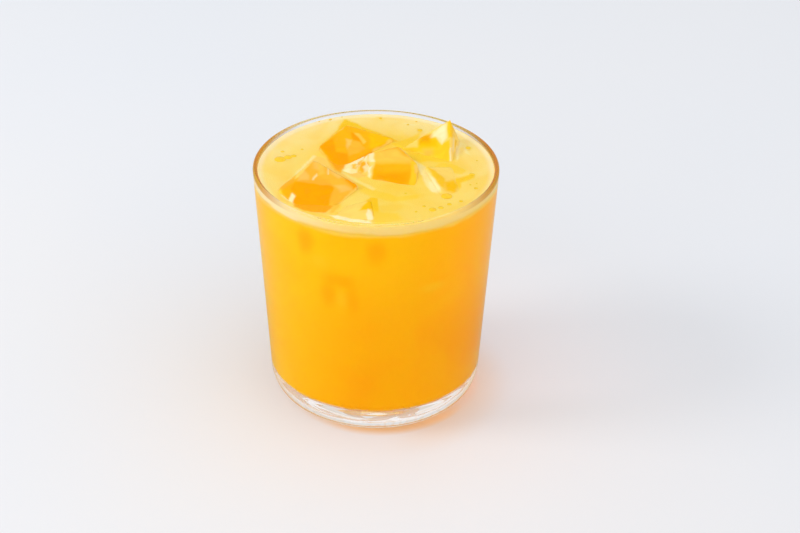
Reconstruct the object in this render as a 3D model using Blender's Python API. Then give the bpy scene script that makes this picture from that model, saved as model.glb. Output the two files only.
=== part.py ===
"""A glass of orange juice with a layer of foam and six blocks of ice.

The origin is the middle of the foot, +Z is up, and the photographed side looks towards -Y.
The tumbler is turned about the Z axis. The juice fills it to a little under the rim, the
foam floats on the juice, and each block of ice sits in a well cut through foam and juice.
"""
import math
from dataclasses import dataclass

import bmesh
import bpy
from mathutils import Matrix, Vector

MM = 0.001

# The tumbler: a straight tapered wall, an elliptical turn into the foot and a thick base.
HEIGHT = 88.5 * MM
RIM_RADIUS = 42.5 * MM
RIM_WALL = 1.7 * MM
TURN_RADIUS = 37.4 * MM
TURN_HEIGHT = 11.0 * MM
FOOT_RADIUS = 28.8 * MM
FOOT_RING = 3.6 * MM
PUNT_SLOPE = 3.0 * MM
PUNT_HEIGHT = 1.3 * MM
FLOOR_HEIGHT = 9.5 * MM
LOW_WALL = 2.0 * MM
INNER_CORNER = 4.0 * MM

# The drink: its surface, the foam's underside, and the rise of the surface at the wall.
SURFACE = 87.0 * MM
FOAM_BOTTOM = 83.9 * MM
MENISCUS_RISE = 0.5 * MM
MENISCUS_WIDTH = 1.8 * MM

# Clearance between two pieces that touch in the real glass.
GAP = 0.3 * MM

# Roundness of turned pieces.
SEGMENTS = 72
LIP_STEPS = 6
TURN_STEPS = 7
CORNER_STEPS = 4
MENISCUS_STEPS = 3
SMOOTH_ANGLE = math.radians(35)

# Ice: the sides draw in a little towards the bottom, and the edges have melted round.
SIDE_DRAFT = -3.0
ICE_EDGE = 1.1 * MM
ICE_EDGE_STEPS = 2
BLANK_SIZE = 90 * MM
WELL_TOP = 93 * MM
TINY = 0.001 * MM


@dataclass(frozen=True)
class Side:
    """A flat side of an ice block, by its bearing and its distance at the surface."""

    bearing: float
    distance: float
    lean: float = SIDE_DRAFT


@dataclass(frozen=True)
class IceBlock:
    """A block of ice: where it floats, how its top slopes and how deep it reaches.

    Lengths are in millimetres and angles in degrees. The top is at height `top` over the
    block's middle and rises by the angle `slope` towards the bearing `rises`. A bearing
    is counted from +X towards +Y.
    """

    name: str
    x: float
    y: float
    top: float
    slope: float
    rises: float
    depth: float
    sides: tuple


ICE_BLOCKS = (
    IceBlock("ice_front_left", -20.7, -18.2, 88.3, 10.5, 88, 18, (
        Side(142, 10.8), Side(49, 12.2), Side(-28, 11.4), Side(-114, 10.1), Side(-149, 10.2))),
    IceBlock("ice_back_left", -8.8, 14.0, 88.6, 10.0, 111, 17, (
        Side(145, 8.6), Side(71, 10.9), Side(-41, 7.5), Side(-152, 10.6))),
    IceBlock("ice_middle", 4.4, -2.1, 88.3, 10.3, 74, 16, (
        Side(154, 10.8), Side(108, 10.9), Side(33, 9.8), Side(-1, 9.9), Side(-109, 7.8),
        Side(-142, 8.8))),
    IceBlock("ice_right", 22.5, -7.5, 87.6, 8.0, -175, 14, (
        Side(-164, 3.9), Side(16, 6.6), Side(-75, 10.5), Side(105, 8.5))),
    IceBlock("ice_back_right", 19.5, 13.0, 89.1, 31.5, 59, 13, (
        Side(108, 5.6), Side(-119, 3.8), Side(-10.6, 8.0, 20.7), Side(18, 15.3), Side(42, 14.8))),
    IceBlock("ice_front", -6.5, -30.3, 87.4, 3.4, 86, 13, (
        Side(8, 6.0), Side(-96, 5.7), Side(148, 4.9), Side(114, 4.8))),
)


def remove_objects():
    """Empty the scene."""
    for item in list(bpy.data.objects):
        bpy.data.objects.remove(item, do_unlink=True)


def make_material(name, colour, roughness, transmission=0.0, ior=1.45):
    """Return a Principled material of one colour."""
    material = bpy.data.materials.new(name)
    material.use_nodes = True
    shader = material.node_tree.nodes["Principled BSDF"]
    shader.inputs["Base Color"].default_value = (*colour, 1.0)
    shader.inputs["Roughness"].default_value = roughness
    shader.inputs["Metallic"].default_value = 0.0
    shader.inputs["Transmission Weight"].default_value = transmission
    shader.inputs["IOR"].default_value = ior
    material.diffuse_color = (*colour, 1.0)
    return material


def make_object(name, bm, material=None):
    """Turn a bmesh into a smooth shaded object in the scene."""
    bmesh.ops.recalc_face_normals(bm, faces=bm.faces)
    mesh = bpy.data.meshes.new(name)
    bm.to_mesh(mesh)
    bm.free()
    mesh.shade_smooth()
    mesh.set_sharp_from_angle(angle=SMOOTH_ANGLE)
    if material is not None:
        mesh.materials.append(material)
    item = bpy.data.objects.new(name, mesh)
    bpy.context.scene.collection.objects.link(item)
    return item


def arc(middle, radii, start, end, steps):
    """Return points (radius, height) along an elliptical arc, from start to end degrees."""
    points = []
    for step in range(steps + 1):
        angle = math.radians(start + (end - start) * step / steps)
        points.append((middle[0] + radii[0] * math.cos(angle), middle[1] + radii[1] * math.sin(angle)))
    return points


def outer_radius(height):
    """Radius of the outer wall at a height on its straight stretch."""
    share = (height - TURN_HEIGHT) / (HEIGHT - TURN_HEIGHT)
    return TURN_RADIUS + (RIM_RADIUS - TURN_RADIUS) * share


def inner_radius(height):
    """Radius of the inner wall at a height: the wall thins evenly towards the rim."""
    share = (height - TURN_HEIGHT) / (HEIGHT - TURN_HEIGHT)
    return outer_radius(height) - LOW_WALL - (RIM_WALL - LOW_WALL) * share


def bowl_profile(clearance):
    """Return the inside's outline from the middle of the floor to the end of its corner."""
    floor = FLOOR_HEIGHT + clearance
    corner = INNER_CORNER - clearance
    corner_top = floor + corner
    middle = (inner_radius(corner_top) - clearance - corner, corner_top)
    return [(0.0, floor)] + arc(middle, (corner, corner), -90, 0, CORNER_STEPS)


def glass_profile():
    """Return the tumbler's outline: underside, outer wall, lip, inner wall and floor."""
    ring_inside = FOOT_RADIUS - FOOT_RING
    lip = RIM_WALL / 2
    lip_middle = (outer_radius(HEIGHT - lip) - lip, HEIGHT - lip)
    turn_middle = (FOOT_RADIUS, TURN_HEIGHT)
    turn_radii = (TURN_RADIUS - FOOT_RADIUS, TURN_HEIGHT)
    underside = [(0.0, PUNT_HEIGHT), (ring_inside - PUNT_SLOPE, PUNT_HEIGHT), (ring_inside, 0.0)]
    turn = arc(turn_middle, turn_radii, -90, 0, TURN_STEPS)
    rounded_lip = arc(lip_middle, (lip, lip), 0, 180, LIP_STEPS)
    return underside + turn + rounded_lip + bowl_profile(0.0)[::-1]


def juice_profile():
    """Return the juice's outline, clear of the tumbler and of the foam above it."""
    top = FOAM_BOTTOM - GAP / 2
    return bowl_profile(GAP) + [(inner_radius(top) - GAP, top), (0.0, top)]


def foam_profile():
    """Return the foam's outline, with its edge drawn up where it meets the wall."""
    bottom = FOAM_BOTTOM + GAP / 2
    wall = inner_radius(SURFACE) - GAP
    top_edge = arc((wall - MENISCUS_WIDTH, SURFACE + MENISCUS_RISE),
                   (MENISCUS_WIDTH, MENISCUS_RISE), 0, -90, MENISCUS_STEPS)
    return [(0.0, bottom), (inner_radius(bottom) - GAP, bottom)] + top_edge + [(0.0, SURFACE)]


def turned(profile):
    """Spin an outline of (radius, height) points once round the Z axis."""
    bm = bmesh.new()
    points = [bm.verts.new((radius, 0.0, height)) for radius, height in profile]
    for start, end in zip(points, points[1:]):
        bm.edges.new((start, end))
    bmesh.ops.spin(bm, geom=bm.verts[:] + bm.edges[:], cent=(0, 0, 0), axis=(0, 0, 1),
                   angle=2 * math.pi, steps=SEGMENTS, use_merge=True)
    bmesh.ops.remove_doubles(bm, verts=bm.verts, dist=TINY)
    return bm


def bearing_vector(bearing, lean=0.0):
    """Return the unit vector at a bearing, leaning up from the level by an angle."""
    turn = math.radians(bearing)
    rise = math.radians(lean)
    return Vector((math.cos(turn) * math.cos(rise), math.sin(turn) * math.cos(rise), math.sin(rise)))


def cut_away(bm, point, normal):
    """Cut a closed mesh by a plane, drop what lies outside it and close the cut."""
    geometry = bm.verts[:] + bm.edges[:] + bm.faces[:]
    cut = bmesh.ops.bisect_plane(bm, geom=geometry, dist=TINY, plane_co=point, plane_no=normal,
                                 clear_outer=True)
    edges = [item for item in cut["geom_cut"] if isinstance(item, bmesh.types.BMEdge)]
    bmesh.ops.holes_fill(bm, edges=edges)


def ice_shape(block, clearance=0.0, open_top=False):
    """Cut an ice block out of a blank.

    With a clearance the block is larger all round, and with an open top it runs straight
    up through the surface, as the well that holds the block does.
    """
    bm = bmesh.new()
    middle = Vector((block.x * MM, block.y * MM, SURFACE))
    bmesh.ops.create_cube(bm, size=BLANK_SIZE, matrix=Matrix.Translation(middle))
    for side in block.sides:
        outward = bearing_vector(side.bearing, side.lean)
        reach = bearing_vector(side.bearing) * (side.distance * MM)
        cut_away(bm, middle + reach + outward * clearance, outward)
    upward = bearing_vector(block.rises + 180, 90 - block.slope)
    top = Vector((middle.x, middle.y, block.top * MM))
    if open_top:
        cut_away(bm, Vector((0, 0, WELL_TOP)), Vector((0, 0, 1)))
    else:
        cut_away(bm, top + upward * clearance, upward)
    cut_away(bm, top - upward * (block.depth * MM + clearance), -upward)
    bmesh.ops.bevel(bm, geom=bm.edges[:], offset=ICE_EDGE, offset_type="OFFSET",
                    segments=ICE_EDGE_STEPS, profile=0.5, affect="EDGES", clamp_overlap=True,
                    material=-1)
    return bm


def cut_wells(item, wells):
    """Cut the wells of the ice blocks out of a drink layer."""
    for well in wells:
        cut = item.modifiers.new(well.name, "BOOLEAN")
        cut.operation = "DIFFERENCE"
        cut.object = well


def make_wells():
    """Return the cutters that leave room for each ice block."""
    wells = []
    for block in ICE_BLOCKS:
        well = make_object("well_" + block.name, ice_shape(block, GAP, open_top=True))
        well.hide_render = True
        well.display_type = "WIRE"
        wells.append(well)
    return wells


def build():
    """Build the tumbler, the juice, the foam and the ice."""
    remove_objects()
    clear_glass = make_material("clear_glass", (0.97, 0.98, 0.98), 0.03, 1.0, 1.5)
    orange_juice = make_material("orange_juice", (1.0, 0.42, 0.01), 0.25)
    juice_foam = make_material("juice_foam", (1.0, 0.68, 0.17), 0.45)
    ice = make_material("ice", (1.0, 0.72, 0.28), 0.08, 0.6, 1.31)

    make_object("glass", turned(glass_profile()), clear_glass)
    juice = make_object("juice", turned(juice_profile()), orange_juice)
    foam = make_object("foam", turned(foam_profile()), juice_foam)
    wells = make_wells()
    cut_wells(juice, wells)
    cut_wells(foam, wells)
    for block in ICE_BLOCKS:
        make_object(block.name, ice_shape(block), ice)


build()
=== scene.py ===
"""Looks of a glass of orange juice: a clear tumbler, the juice, its foam and six blocks of ice.

Lengths are metres in the frame's own axes, and millimetres where a docstring says so: +Z is
up and the photographed side looks towards -Y. Tumbler, Drink, IceBlock, IceFilm and Bubbles
build the visible pieces, the classes named Finish dress them, and Studio and PhotoCamera hold
the floor, the light and the view.
"""
import logging
import math
from dataclasses import dataclass
from enum import Enum
from functools import cache
from typing import NamedTuple

import bmesh
import bpy
from mathutils import Matrix, Vector, noise


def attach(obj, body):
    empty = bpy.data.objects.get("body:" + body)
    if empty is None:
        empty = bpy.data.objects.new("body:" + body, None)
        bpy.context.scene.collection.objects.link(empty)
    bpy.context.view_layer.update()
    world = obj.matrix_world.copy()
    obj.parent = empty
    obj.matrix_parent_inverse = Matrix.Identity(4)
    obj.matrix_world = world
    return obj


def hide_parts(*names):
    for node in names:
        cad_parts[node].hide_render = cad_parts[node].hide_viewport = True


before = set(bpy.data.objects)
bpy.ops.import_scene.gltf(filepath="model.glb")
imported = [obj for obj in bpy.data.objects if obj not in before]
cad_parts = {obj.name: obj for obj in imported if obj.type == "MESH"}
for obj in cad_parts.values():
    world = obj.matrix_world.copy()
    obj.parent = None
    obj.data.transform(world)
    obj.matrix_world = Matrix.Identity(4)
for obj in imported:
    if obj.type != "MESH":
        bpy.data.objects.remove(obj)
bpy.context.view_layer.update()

LOG = logging.getLogger("glass_of_juice")
MM = 0.001
BODY = "root"
TINY = 0.001 * MM
GLASS_IOR = 1.5
DRINK_IOR = 1.35
WATER_IOR = 1.33
NOISE_SEED = 5
FILM_TONE = "film_tone"
BLACK = (0.0, 0.0, 0.0)
WHITE = (1.0, 1.0, 1.0)

Point = tuple[float, float]
Span = tuple[float, float]
Colour = tuple[float, float, float]
Blot = tuple[float, float, float, float]


class Slot(Enum):
    """Material slots of the record for the pieces' finishes; install is handed one but does not read it."""

    GLASS = "clear_glass"
    JUICE = "orange_juice"
    FOAM = "juice_foam"
    ICE = "ice"


def arc(middle: Point, radii: Point, start: float, end: float, steps: int) -> list[Point]:
    """Work out points along an elliptical arc.

    Args:
        middle: Radius and height of the arc's middle.
        radii: Half width and half height of the ellipse.
        start: First angle in degrees.
        end: Last angle in degrees.
        steps: Number of stretches.

    Returns:
        The points as (radius, height).
    """
    points = []
    for step in range(steps + 1):
        angle = math.radians(start + (end - start) * step / steps)
        points.append((middle[0] + radii[0] * math.cos(angle), middle[1] + radii[1] * math.sin(angle)))
    return points


def smooth_step(low: float, high: float, value: float) -> float:
    """Return 0 below low, 1 above high and a smooth rise between them."""
    share = min(max((value - low) / (high - low), 0.0), 1.0)
    return share * share * (3.0 - 2.0 * share)


def turned(profile: list[Point], segments: int) -> bmesh.types.BMesh:
    """Spin an outline once round the Z axis.

    Args:
        profile: Points as (radius, height), from axis to axis.
        segments: Number of steps round.

    Returns:
        A closed bmesh.
    """
    bm = bmesh.new()
    points = [bm.verts.new((radius, 0.0, height)) for radius, height in profile]
    for start, end in zip(points, points[1:]):
        bm.edges.new((start, end))
    bmesh.ops.spin(bm, geom=bm.verts[:] + bm.edges[:], cent=(0, 0, 0), axis=(0, 0, 1),
                   angle=2 * math.pi, steps=segments, use_merge=True)
    bmesh.ops.remove_doubles(bm, verts=bm.verts, dist=TINY)
    bmesh.ops.recalc_face_normals(bm, faces=bm.faces)
    return bm


def to_object(name: str, bm: bmesh.types.BMesh, sharp_degrees: float = 50.0) -> bpy.types.Object:
    """Turn a bmesh into a smooth shaded object at the origin.

    Args:
        name: Name of the piece.
        bm: Its shape, which is freed.
        sharp_degrees: Edges sharper than this stay sharp.

    Returns:
        The new object.
    """
    mesh = bpy.data.meshes.new(name)
    bm.to_mesh(mesh)
    bm.free()
    mesh.shade_smooth()
    mesh.set_sharp_from_angle(angle=math.radians(sharp_degrees))
    item = bpy.data.objects.new(name, mesh)
    bpy.context.scene.collection.objects.link(item)
    return item


def apply_modifiers(item: bpy.types.Object) -> bpy.types.Object:
    """Bake an object's modifiers into its mesh."""
    bpy.context.view_layer.update()
    evaluated = item.evaluated_get(bpy.context.evaluated_depsgraph_get())
    baked = bpy.data.meshes.new_from_object(evaluated)
    baked.name = item.name
    item.modifiers.clear()
    old = item.data
    item.data = baked
    bpy.data.meshes.remove(old)
    return item


def cut_out(item: bpy.types.Object, cutters: list[bpy.types.Object]) -> bpy.types.Object:
    """Cut several closed shapes out of a piece.

    Args:
        item: The piece that is cut.
        cutters: Closed shapes that don't touch each other.

    Returns:
        The same object with its new mesh.
    """
    for cutter in cutters:
        cut = item.modifiers.new(cutter.name, "BOOLEAN")
        cut.operation = "DIFFERENCE"
        cut.object = cutter
    return apply_modifiers(item)


def install(item: bpy.types.Object, finish: bpy.types.Material, slot: Slot, *nodes: str) -> bpy.types.Object:
    """Dress a finished piece and fix it to the frame.

    Args:
        item: The visible piece.
        finish: Its material.
        slot: The record's material slot of its finish; not used.
        *nodes: The CAD nodes that it stands for, if any.

    Returns:
        The same piece.
    """
    item.data.materials.append(finish)
    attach(item, BODY)
    if nodes:
        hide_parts(*nodes)
    low, high = (Vector(corner) for corner in (item.bound_box[0], item.bound_box[6]))
    LOG.info("%s: %d faces, %.1f to %.1f mm high", item.name, len(item.data.polygons),
             low.z / MM, high.z / MM)
    return item


class Mottle(NamedTuple):
    """How the shared mottle is placed: scales of its patches and grain, and the patches' warp."""

    patches: float
    grain: float
    warp: float


class Sketch:
    """A small helper that adds and links the nodes of one material or group."""

    def __init__(self, tree: bpy.types.NodeTree) -> None:
        """Keep the tree that the nodes go into."""
        self.tree = tree

    def add(self, kind: str, **values: object) -> bpy.types.Node:
        """Add a node and set its properties and inputs.

        Args:
            kind: The node's type.
            **values: Properties by name, or inputs by name with spaces as underscores.

        Returns:
            The new node.
        """
        node = self.tree.nodes.new(kind)
        for key, value in values.items():
            if hasattr(node, key):
                setattr(node, key, value)
            else:
                node.inputs[key.replace("_", " ")].default_value = value
        return node

    def put(self, value: object, target: bpy.types.NodeSocket) -> None:
        """Give an input its value.

        Args:
            value: A socket to link, a number or a colour.
            target: The input.
        """
        if isinstance(value, bpy.types.NodeSocket):
            self.tree.links.new(value, target)
        elif isinstance(value, tuple):
            target.default_value = (*value, 1.0)
        else:
            target.default_value = value

    def maths(self, operation: str, first: object, second: object = 0.0) -> bpy.types.NodeSocket:
        """Add a Math node and return its output.

        Args:
            operation: The Math node's operation.
            first: A socket or a number.
            second: A socket or a number.

        Returns:
            The result's socket.
        """
        node = self.add("ShaderNodeMath", operation=operation)
        self.put(first, node.inputs[0])
        self.put(second, node.inputs[1])
        return node.outputs[0]

    def times(self, first: object, second: object) -> bpy.types.NodeSocket:
        """Multiply two values."""
        return self.maths("MULTIPLY", first, second)

    def ramp(self, value: bpy.types.NodeSocket, span: Span,
             result: Span = (0.0, 1.0)) -> bpy.types.NodeSocket:
        """Map a value smoothly from one range to another.

        Args:
            value: The socket to map.
            span: The values that give the first and the last result.
            result: The first and the last result, which also hold beyond the span.

        Returns:
            The result's socket.
        """
        node = self.add("ShaderNodeMapRange", interpolation_type="SMOOTHSTEP")
        for name, number in zip(("From Min", "From Max", "To Min", "To Max"), (*span, *result)):
            node.inputs[name].default_value = number
        self.put(value, node.inputs["Value"])
        return node.outputs["Result"]

    def grade(self, value: bpy.types.NodeSocket, span: Span,
              result: Span = (0.0, 1.0)) -> bpy.types.NodeSocket:
        """Map a length as ramp does, with the span in millimetres."""
        return self.ramp(value, (span[0] * MM, span[1] * MM), result)

    def fade(self, value: bpy.types.NodeSocket, span: Span) -> bpy.types.NodeSocket:
        """Map a length smoothly from 1 to 0 over a span in millimetres."""
        return self.grade(value, span, (1.0, 0.0))

    def blend(self, mask: object, first: object, second: object) -> bpy.types.NodeSocket:
        """Mix two colours by a mask.

        Args:
            mask: 0 gives the first colour and 1 the second.
            first: A colour or a colour socket.
            second: A colour or a colour socket.

        Returns:
            The mixed colour's socket.
        """
        node = self.add("ShaderNodeMix", data_type="RGBA")
        self.put(mask, node.inputs["Factor"])
        self.put(first, node.inputs[6])
        self.put(second, node.inputs[7])
        return node.outputs[2]

    def layers(self, below: object, *layers: tuple[object, object]) -> bpy.types.NodeSocket:
        """Lay colours one over the other.

        Args:
            below: The lowest colour.
            *layers: Each colour's mask and the colour, from the lowest up.

        Returns:
            The resulting colour's socket.
        """
        for mask, colour in layers:
            below = self.blend(mask, below, colour)
        return below

    def group(self, tree: bpy.types.NodeTree, **values: float) -> bpy.types.Node:
        """Place a node group and set its inputs by name."""
        return self.add("ShaderNodeGroup", node_tree=tree, **values)

    def mottle(self, pattern: Mottle) -> tuple[bpy.types.NodeSocket, bpy.types.NodeSocket]:
        """Place the shared mottle and return its patches and its grain."""
        node = self.group(mottle_group(), PatchScale=pattern.patches, GrainScale=pattern.grain,
                          Warp=pattern.warp)
        return node.outputs["Patches"], node.outputs["Grain"]

    def surface(self, mask: object, first: bpy.types.NodeSocket, second: bpy.types.NodeSocket) -> None:
        """Mix two shaders and make the mix the material's surface.

        Args:
            mask: 0 gives the first shader and 1 the second.
            first: A shader's socket.
            second: A shader's socket.
        """
        mix = self.add("ShaderNodeMixShader")
        for value, target in zip((mask, first, second), mix.inputs):
            self.put(value, target)
        self.put(mix.outputs["Shader"], self.tree.nodes["Material Output"].inputs["Surface"])


def new_group(name: str, inputs: dict[str, float],
              outputs: tuple[str, ...]) -> tuple[Sketch, bpy.types.Node, bpy.types.Node]:
    """Start a node group that several materials share.

    Args:
        name: Name of the group.
        inputs: Its inputs by name, with their first values.
        outputs: Names of its outputs.

    Returns:
        A helper for its nodes, the node of its inputs and the node of its outputs.
    """
    tree = bpy.data.node_groups.new(name, "ShaderNodeTree")
    for label, number in inputs.items():
        socket = tree.interface.new_socket(label, in_out="INPUT", socket_type="NodeSocketFloat")
        socket.default_value = number
    for label in outputs:
        tree.interface.new_socket(label, in_out="OUTPUT", socket_type="NodeSocketFloat")
    return Sketch(tree), tree.nodes.new("NodeGroupInput"), tree.nodes.new("NodeGroupOutput")


@cache
def mottle_group() -> bpy.types.NodeTree:
    """Build the shared pattern of soft patches with a finer grain on them.

    Returns:
        A group that puts out Patches and Grain, each from 0 to 1.
    """
    draw, inside, outside = new_group(
        "soft_mottle", {"PatchScale": 60.0, "GrainScale": 900.0, "Warp": 0.4}, ("Patches", "Grain"))
    patch_contrast = (0.36, 0.64)
    grain_contrast = (0.32, 0.68)
    place = draw.add("ShaderNodeTexCoord")
    mapping = draw.add("ShaderNodeMapping")
    draw.put(place.outputs["Object"], mapping.inputs["Vector"])
    patches = draw.add("ShaderNodeTexNoise", Detail=2.0, Roughness=0.45)
    grain = draw.add("ShaderNodeTexNoise", Detail=3.0, Roughness=0.6)
    for node, label in ((patches, "PatchScale"), (grain, "GrainScale")):
        draw.put(mapping.outputs["Vector"], node.inputs["Vector"])
        draw.put(inside.outputs[label], node.inputs["Scale"])
    draw.put(inside.outputs["Warp"], patches.inputs["Distortion"])
    draw.put(draw.ramp(patches.outputs["Fac"], patch_contrast), outside.inputs["Patches"])
    draw.put(draw.ramp(grain.outputs["Fac"], grain_contrast), outside.inputs["Grain"])
    return draw.tree


@cache
def place_group() -> bpy.types.NodeTree:
    """Build the shared measure of where a point lies.

    Returns:
        A group that puts out X, Y, Height and Radius in metres, and Wall, the distance in
        metres from the inner wall of the glass.
    """
    draw, _, outside = new_group("place_in_glass", {}, ("X", "Y", "Height", "Radius", "Wall"))
    place = draw.add("ShaderNodeTexCoord")
    split = draw.add("ShaderNodeSeparateXYZ")
    draw.put(place.outputs["Object"], split.inputs["Vector"])
    across = draw.add("ShaderNodeCombineXYZ")
    for axis in "XY":
        draw.put(split.outputs[axis], across.inputs[axis])
        draw.put(split.outputs[axis], outside.inputs[axis])
    length = draw.add("ShaderNodeVectorMath", operation="LENGTH")
    draw.put(across.outputs["Vector"], length.inputs[0])
    tumbler = Tumbler()
    foot = tumbler.inner_radius(0.0)
    flare = (tumbler.inner_radius(tumbler.height) - foot) / tumbler.height
    wall = draw.maths("ADD", draw.times(split.outputs["Z"], flare), foot)
    draw.put(split.outputs["Z"], outside.inputs["Height"])
    draw.put(length.outputs["Value"], outside.inputs["Radius"])
    draw.put(draw.maths("SUBTRACT", wall, length.outputs["Value"]), outside.inputs["Wall"])
    return draw.tree


@cache
def blot_group() -> bpy.types.NodeTree:
    """Build the shared mask of a soft round blot on the front of the drink.

    Returns:
        A group with the blot's place and size as inputs, in metres, and Mask as output.
    """
    sizes = {"Across": 0.0, "Up": 0.0, "HalfWidth": 0.0, "HalfHeight": 0.0}
    draw, inside, outside = new_group("soft_blot", sizes, ("Mask",))
    wander = 0.8
    edge = (0.7, 1.7)
    front = (-4.0, 0.0)
    place = draw.group(place_group())
    away = []
    for axis, middle, size in (("X", "Across", "HalfWidth"), ("Height", "Up", "HalfHeight")):
        offset = draw.maths("SUBTRACT", place.outputs[axis], inside.outputs[middle])
        share = draw.maths("DIVIDE", offset, inside.outputs[size])
        away.append(draw.times(share, share))
    distance = draw.maths("SQRT", draw.maths("ADD", *away))
    wobble = draw.add("ShaderNodeTexNoise", Scale=260.0, Detail=2.0)
    spot = draw.add("ShaderNodeTexCoord")
    draw.put(spot.outputs["Object"], wobble.inputs["Vector"])
    uneven = draw.maths("ADD", distance, draw.times(wobble.outputs["Fac"], wander))
    mask = draw.ramp(uneven, edge, (1.0, 0.0))
    draw.put(draw.times(mask, draw.fade(place.outputs["Y"], front)), outside.inputs["Mask"])
    return draw.tree


class Finish:
    """Common steps of the finishes. Spans of place are millimetres in all of them."""

    name: str

    def start(self) -> tuple[bpy.types.Material, Sketch, bpy.types.Node]:
        """Make an empty material with one Principled shader.

        Returns:
            The material, a helper for its nodes and the shader.
        """
        material = bpy.data.materials.new(self.name)
        material.use_nodes = True
        return material, Sketch(material.node_tree), material.node_tree.nodes["Principled BSDF"]

    @staticmethod
    def settle(shader: bpy.types.Node, **values: float) -> None:
        """Set constants on the shader's own sockets, named with underscores for spaces."""
        for key, value in values.items():
            shader.inputs[key.replace("_", " ")].default_value = value

    @staticmethod
    def bump(draw: Sketch, shader: bpy.types.Node, height: bpy.types.NodeSocket, depth: float,
             strength: float = 1.0) -> None:
        """Give the shader a fine relief.

        Args:
            draw: Helper of the material.
            shader: The Principled shader.
            height: Socket of the relief, from 0 to 1.
            depth: Depth of the relief in metres.
            strength: Share of it that shows.
        """
        node = draw.add("ShaderNodeBump", Strength=strength, Distance=depth)
        draw.put(height, node.inputs["Height"])
        draw.put(node.outputs["Normal"], shader.inputs["Normal"])

    @staticmethod
    def pass_light(draw: Sketch, shader: bpy.types.Node, tint: Colour) -> None:
        """Let lamp light and soft bounced light pass a clear piece unbent.

        Args:
            draw: Helper of the material.
            shader: The Principled shader.
            tint: Colour of the light that has passed.
        """
        path = draw.add("ShaderNodeLightPath")
        clear = draw.add("ShaderNodeBsdfTransparent")
        draw.put(tint, clear.inputs["Color"])
        straight = draw.maths("MAXIMUM", path.outputs["Is Shadow Ray"], path.outputs["Is Diffuse Ray"])
        draw.surface(straight, shader.outputs["BSDF"], clear.outputs["BSDF"])


@dataclass(frozen=True)
class GlassFinish(Finish):
    """Clear polished soda glass with a barely uneven surface and a painted amber reflection where its lip is
    seen edgeways.
    """

    name: str = "clear_glass"
    colour: Colour = (0.985, 0.99, 0.985)
    gloss: Colour = (0.05, 0.05, 0.05)
    # Painted glow: amber and base_end end the light that ran round inside the glass.
    amber: Colour = (0.85, 0.50, 0.12)
    # Warm painted light of the drink in veils in the base, and a painted glow there.
    base_painted_light: Colour = (0.95, 0.79, 0.64)
    base_glow: Colour = (0.06, 0.056, 0.052)
    base_end: Colour = (0.86, 0.77, 0.68)
    # Warm painted shade at the foot and at the turn of the base.
    foot_painted_shade: Colour = (0.84, 0.60, 0.40)
    turn_painted_shade: Colour = (1.0, 0.76, 0.50)
    # Painted amber reflection of the drink at the sides of the lip.
    lip_painted_reflection: Colour = (0.48, 0.19, 0.003)
    # Pale warm painted tint that tones down the highlight on the front of the lip.
    front_lip_painted_tint: Colour = (1.0, 0.80, 0.48)
    passed_light: Colour = (0.97, 0.97, 0.97)
    pattern: Mottle = Mottle(45.0, 400.0, 0.2)
    veils: Mottle = Mottle(190.0, 400.0, 2.0)
    veil_edge: Span = (0.55, 0.8)
    base_height: Span = (5.0, 9.0)
    foot_height: Span = (0.1, 0.6)
    turn_height: Span = (10.0, 13.0)
    turn_across: Span = (25.0, 35.0)
    lip_height: Span = (86.9, 87.4)
    lip_across: Span = (24.0, 40.0)
    front_lip_height: Span = (87.6, 88.2)
    front_lip_reach: Span = (-38.0, -24.0)
    amber_height: Span = (10.0, 16.0)
    roughness: Span = (0.0, 0.012)
    wave_depth: float = 0.04 * MM
    wall_turns: float = 2.5

    def material(self) -> bpy.types.Material:
        """Build the material."""
        material, draw, shader = self.start()
        self.settle(shader, IOR=GLASS_IOR, Metallic=0.0, Transmission_Weight=1.0, Emission_Strength=1.0)
        shader.inputs["Specular Tint"].default_value = (*self.gloss, 1.0)
        patches, grain = draw.mottle(self.pattern)
        veils, _ = draw.mottle(self.veils)
        place = draw.group(place_group())
        height = place.outputs["Height"]
        across = draw.maths("ABSOLUTE", place.outputs["X"])
        in_base = draw.fade(height, self.base_height)
        # Over the glass's own tint: painted light in the base, painted shade at foot and turn, painted
        # reflection on the lip.
        tint = draw.layers(
            draw.blend(patches, self.colour, WHITE),
            (draw.times(in_base, draw.ramp(veils, self.veil_edge)), self.base_painted_light),
            (draw.fade(height, self.foot_height), self.foot_painted_shade),
            (draw.times(draw.fade(height, self.turn_height), draw.grade(across, self.turn_across)),
             self.turn_painted_shade),
            (draw.times(draw.grade(height, self.lip_height), draw.grade(across, self.lip_across)),
             self.lip_painted_reflection),
            (draw.times(draw.grade(height, self.front_lip_height),
                        draw.fade(place.outputs["Y"], self.front_lip_reach)), self.front_lip_painted_tint))
        draw.put(tint, shader.inputs["Base Color"])
        # Painted glow in the base.
        draw.put(draw.blend(in_base, BLACK, self.base_glow), shader.inputs["Emission Color"])
        draw.put(draw.ramp(grain, (0.0, 1.0), self.roughness), shader.inputs["Roughness"])
        self.bump(draw, shader, patches, self.wave_depth)
        self.pass_light(draw, shader, self.passed_light)
        self.end_in_amber(draw)
        return material

    def end_in_amber(self, draw: Sketch) -> None:
        """Let light that has run round inside the glass end in a painted amber glow, paler in the base."""
        clear = draw.tree.nodes["Material Output"].inputs["Surface"].links[0].from_socket
        path = draw.add("ShaderNodeLightPath")
        glow = draw.add("ShaderNodeEmission")
        height = draw.group(place_group()).outputs["Height"]
        above = draw.grade(height, self.amber_height)
        draw.put(draw.blend(above, self.base_end, self.amber), glow.inputs["Color"])
        ended = draw.maths("GREATER_THAN", path.outputs["Glossy Depth"], self.wall_turns)
        draw.surface(ended, clear, glow.outputs["Emission"])


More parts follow.
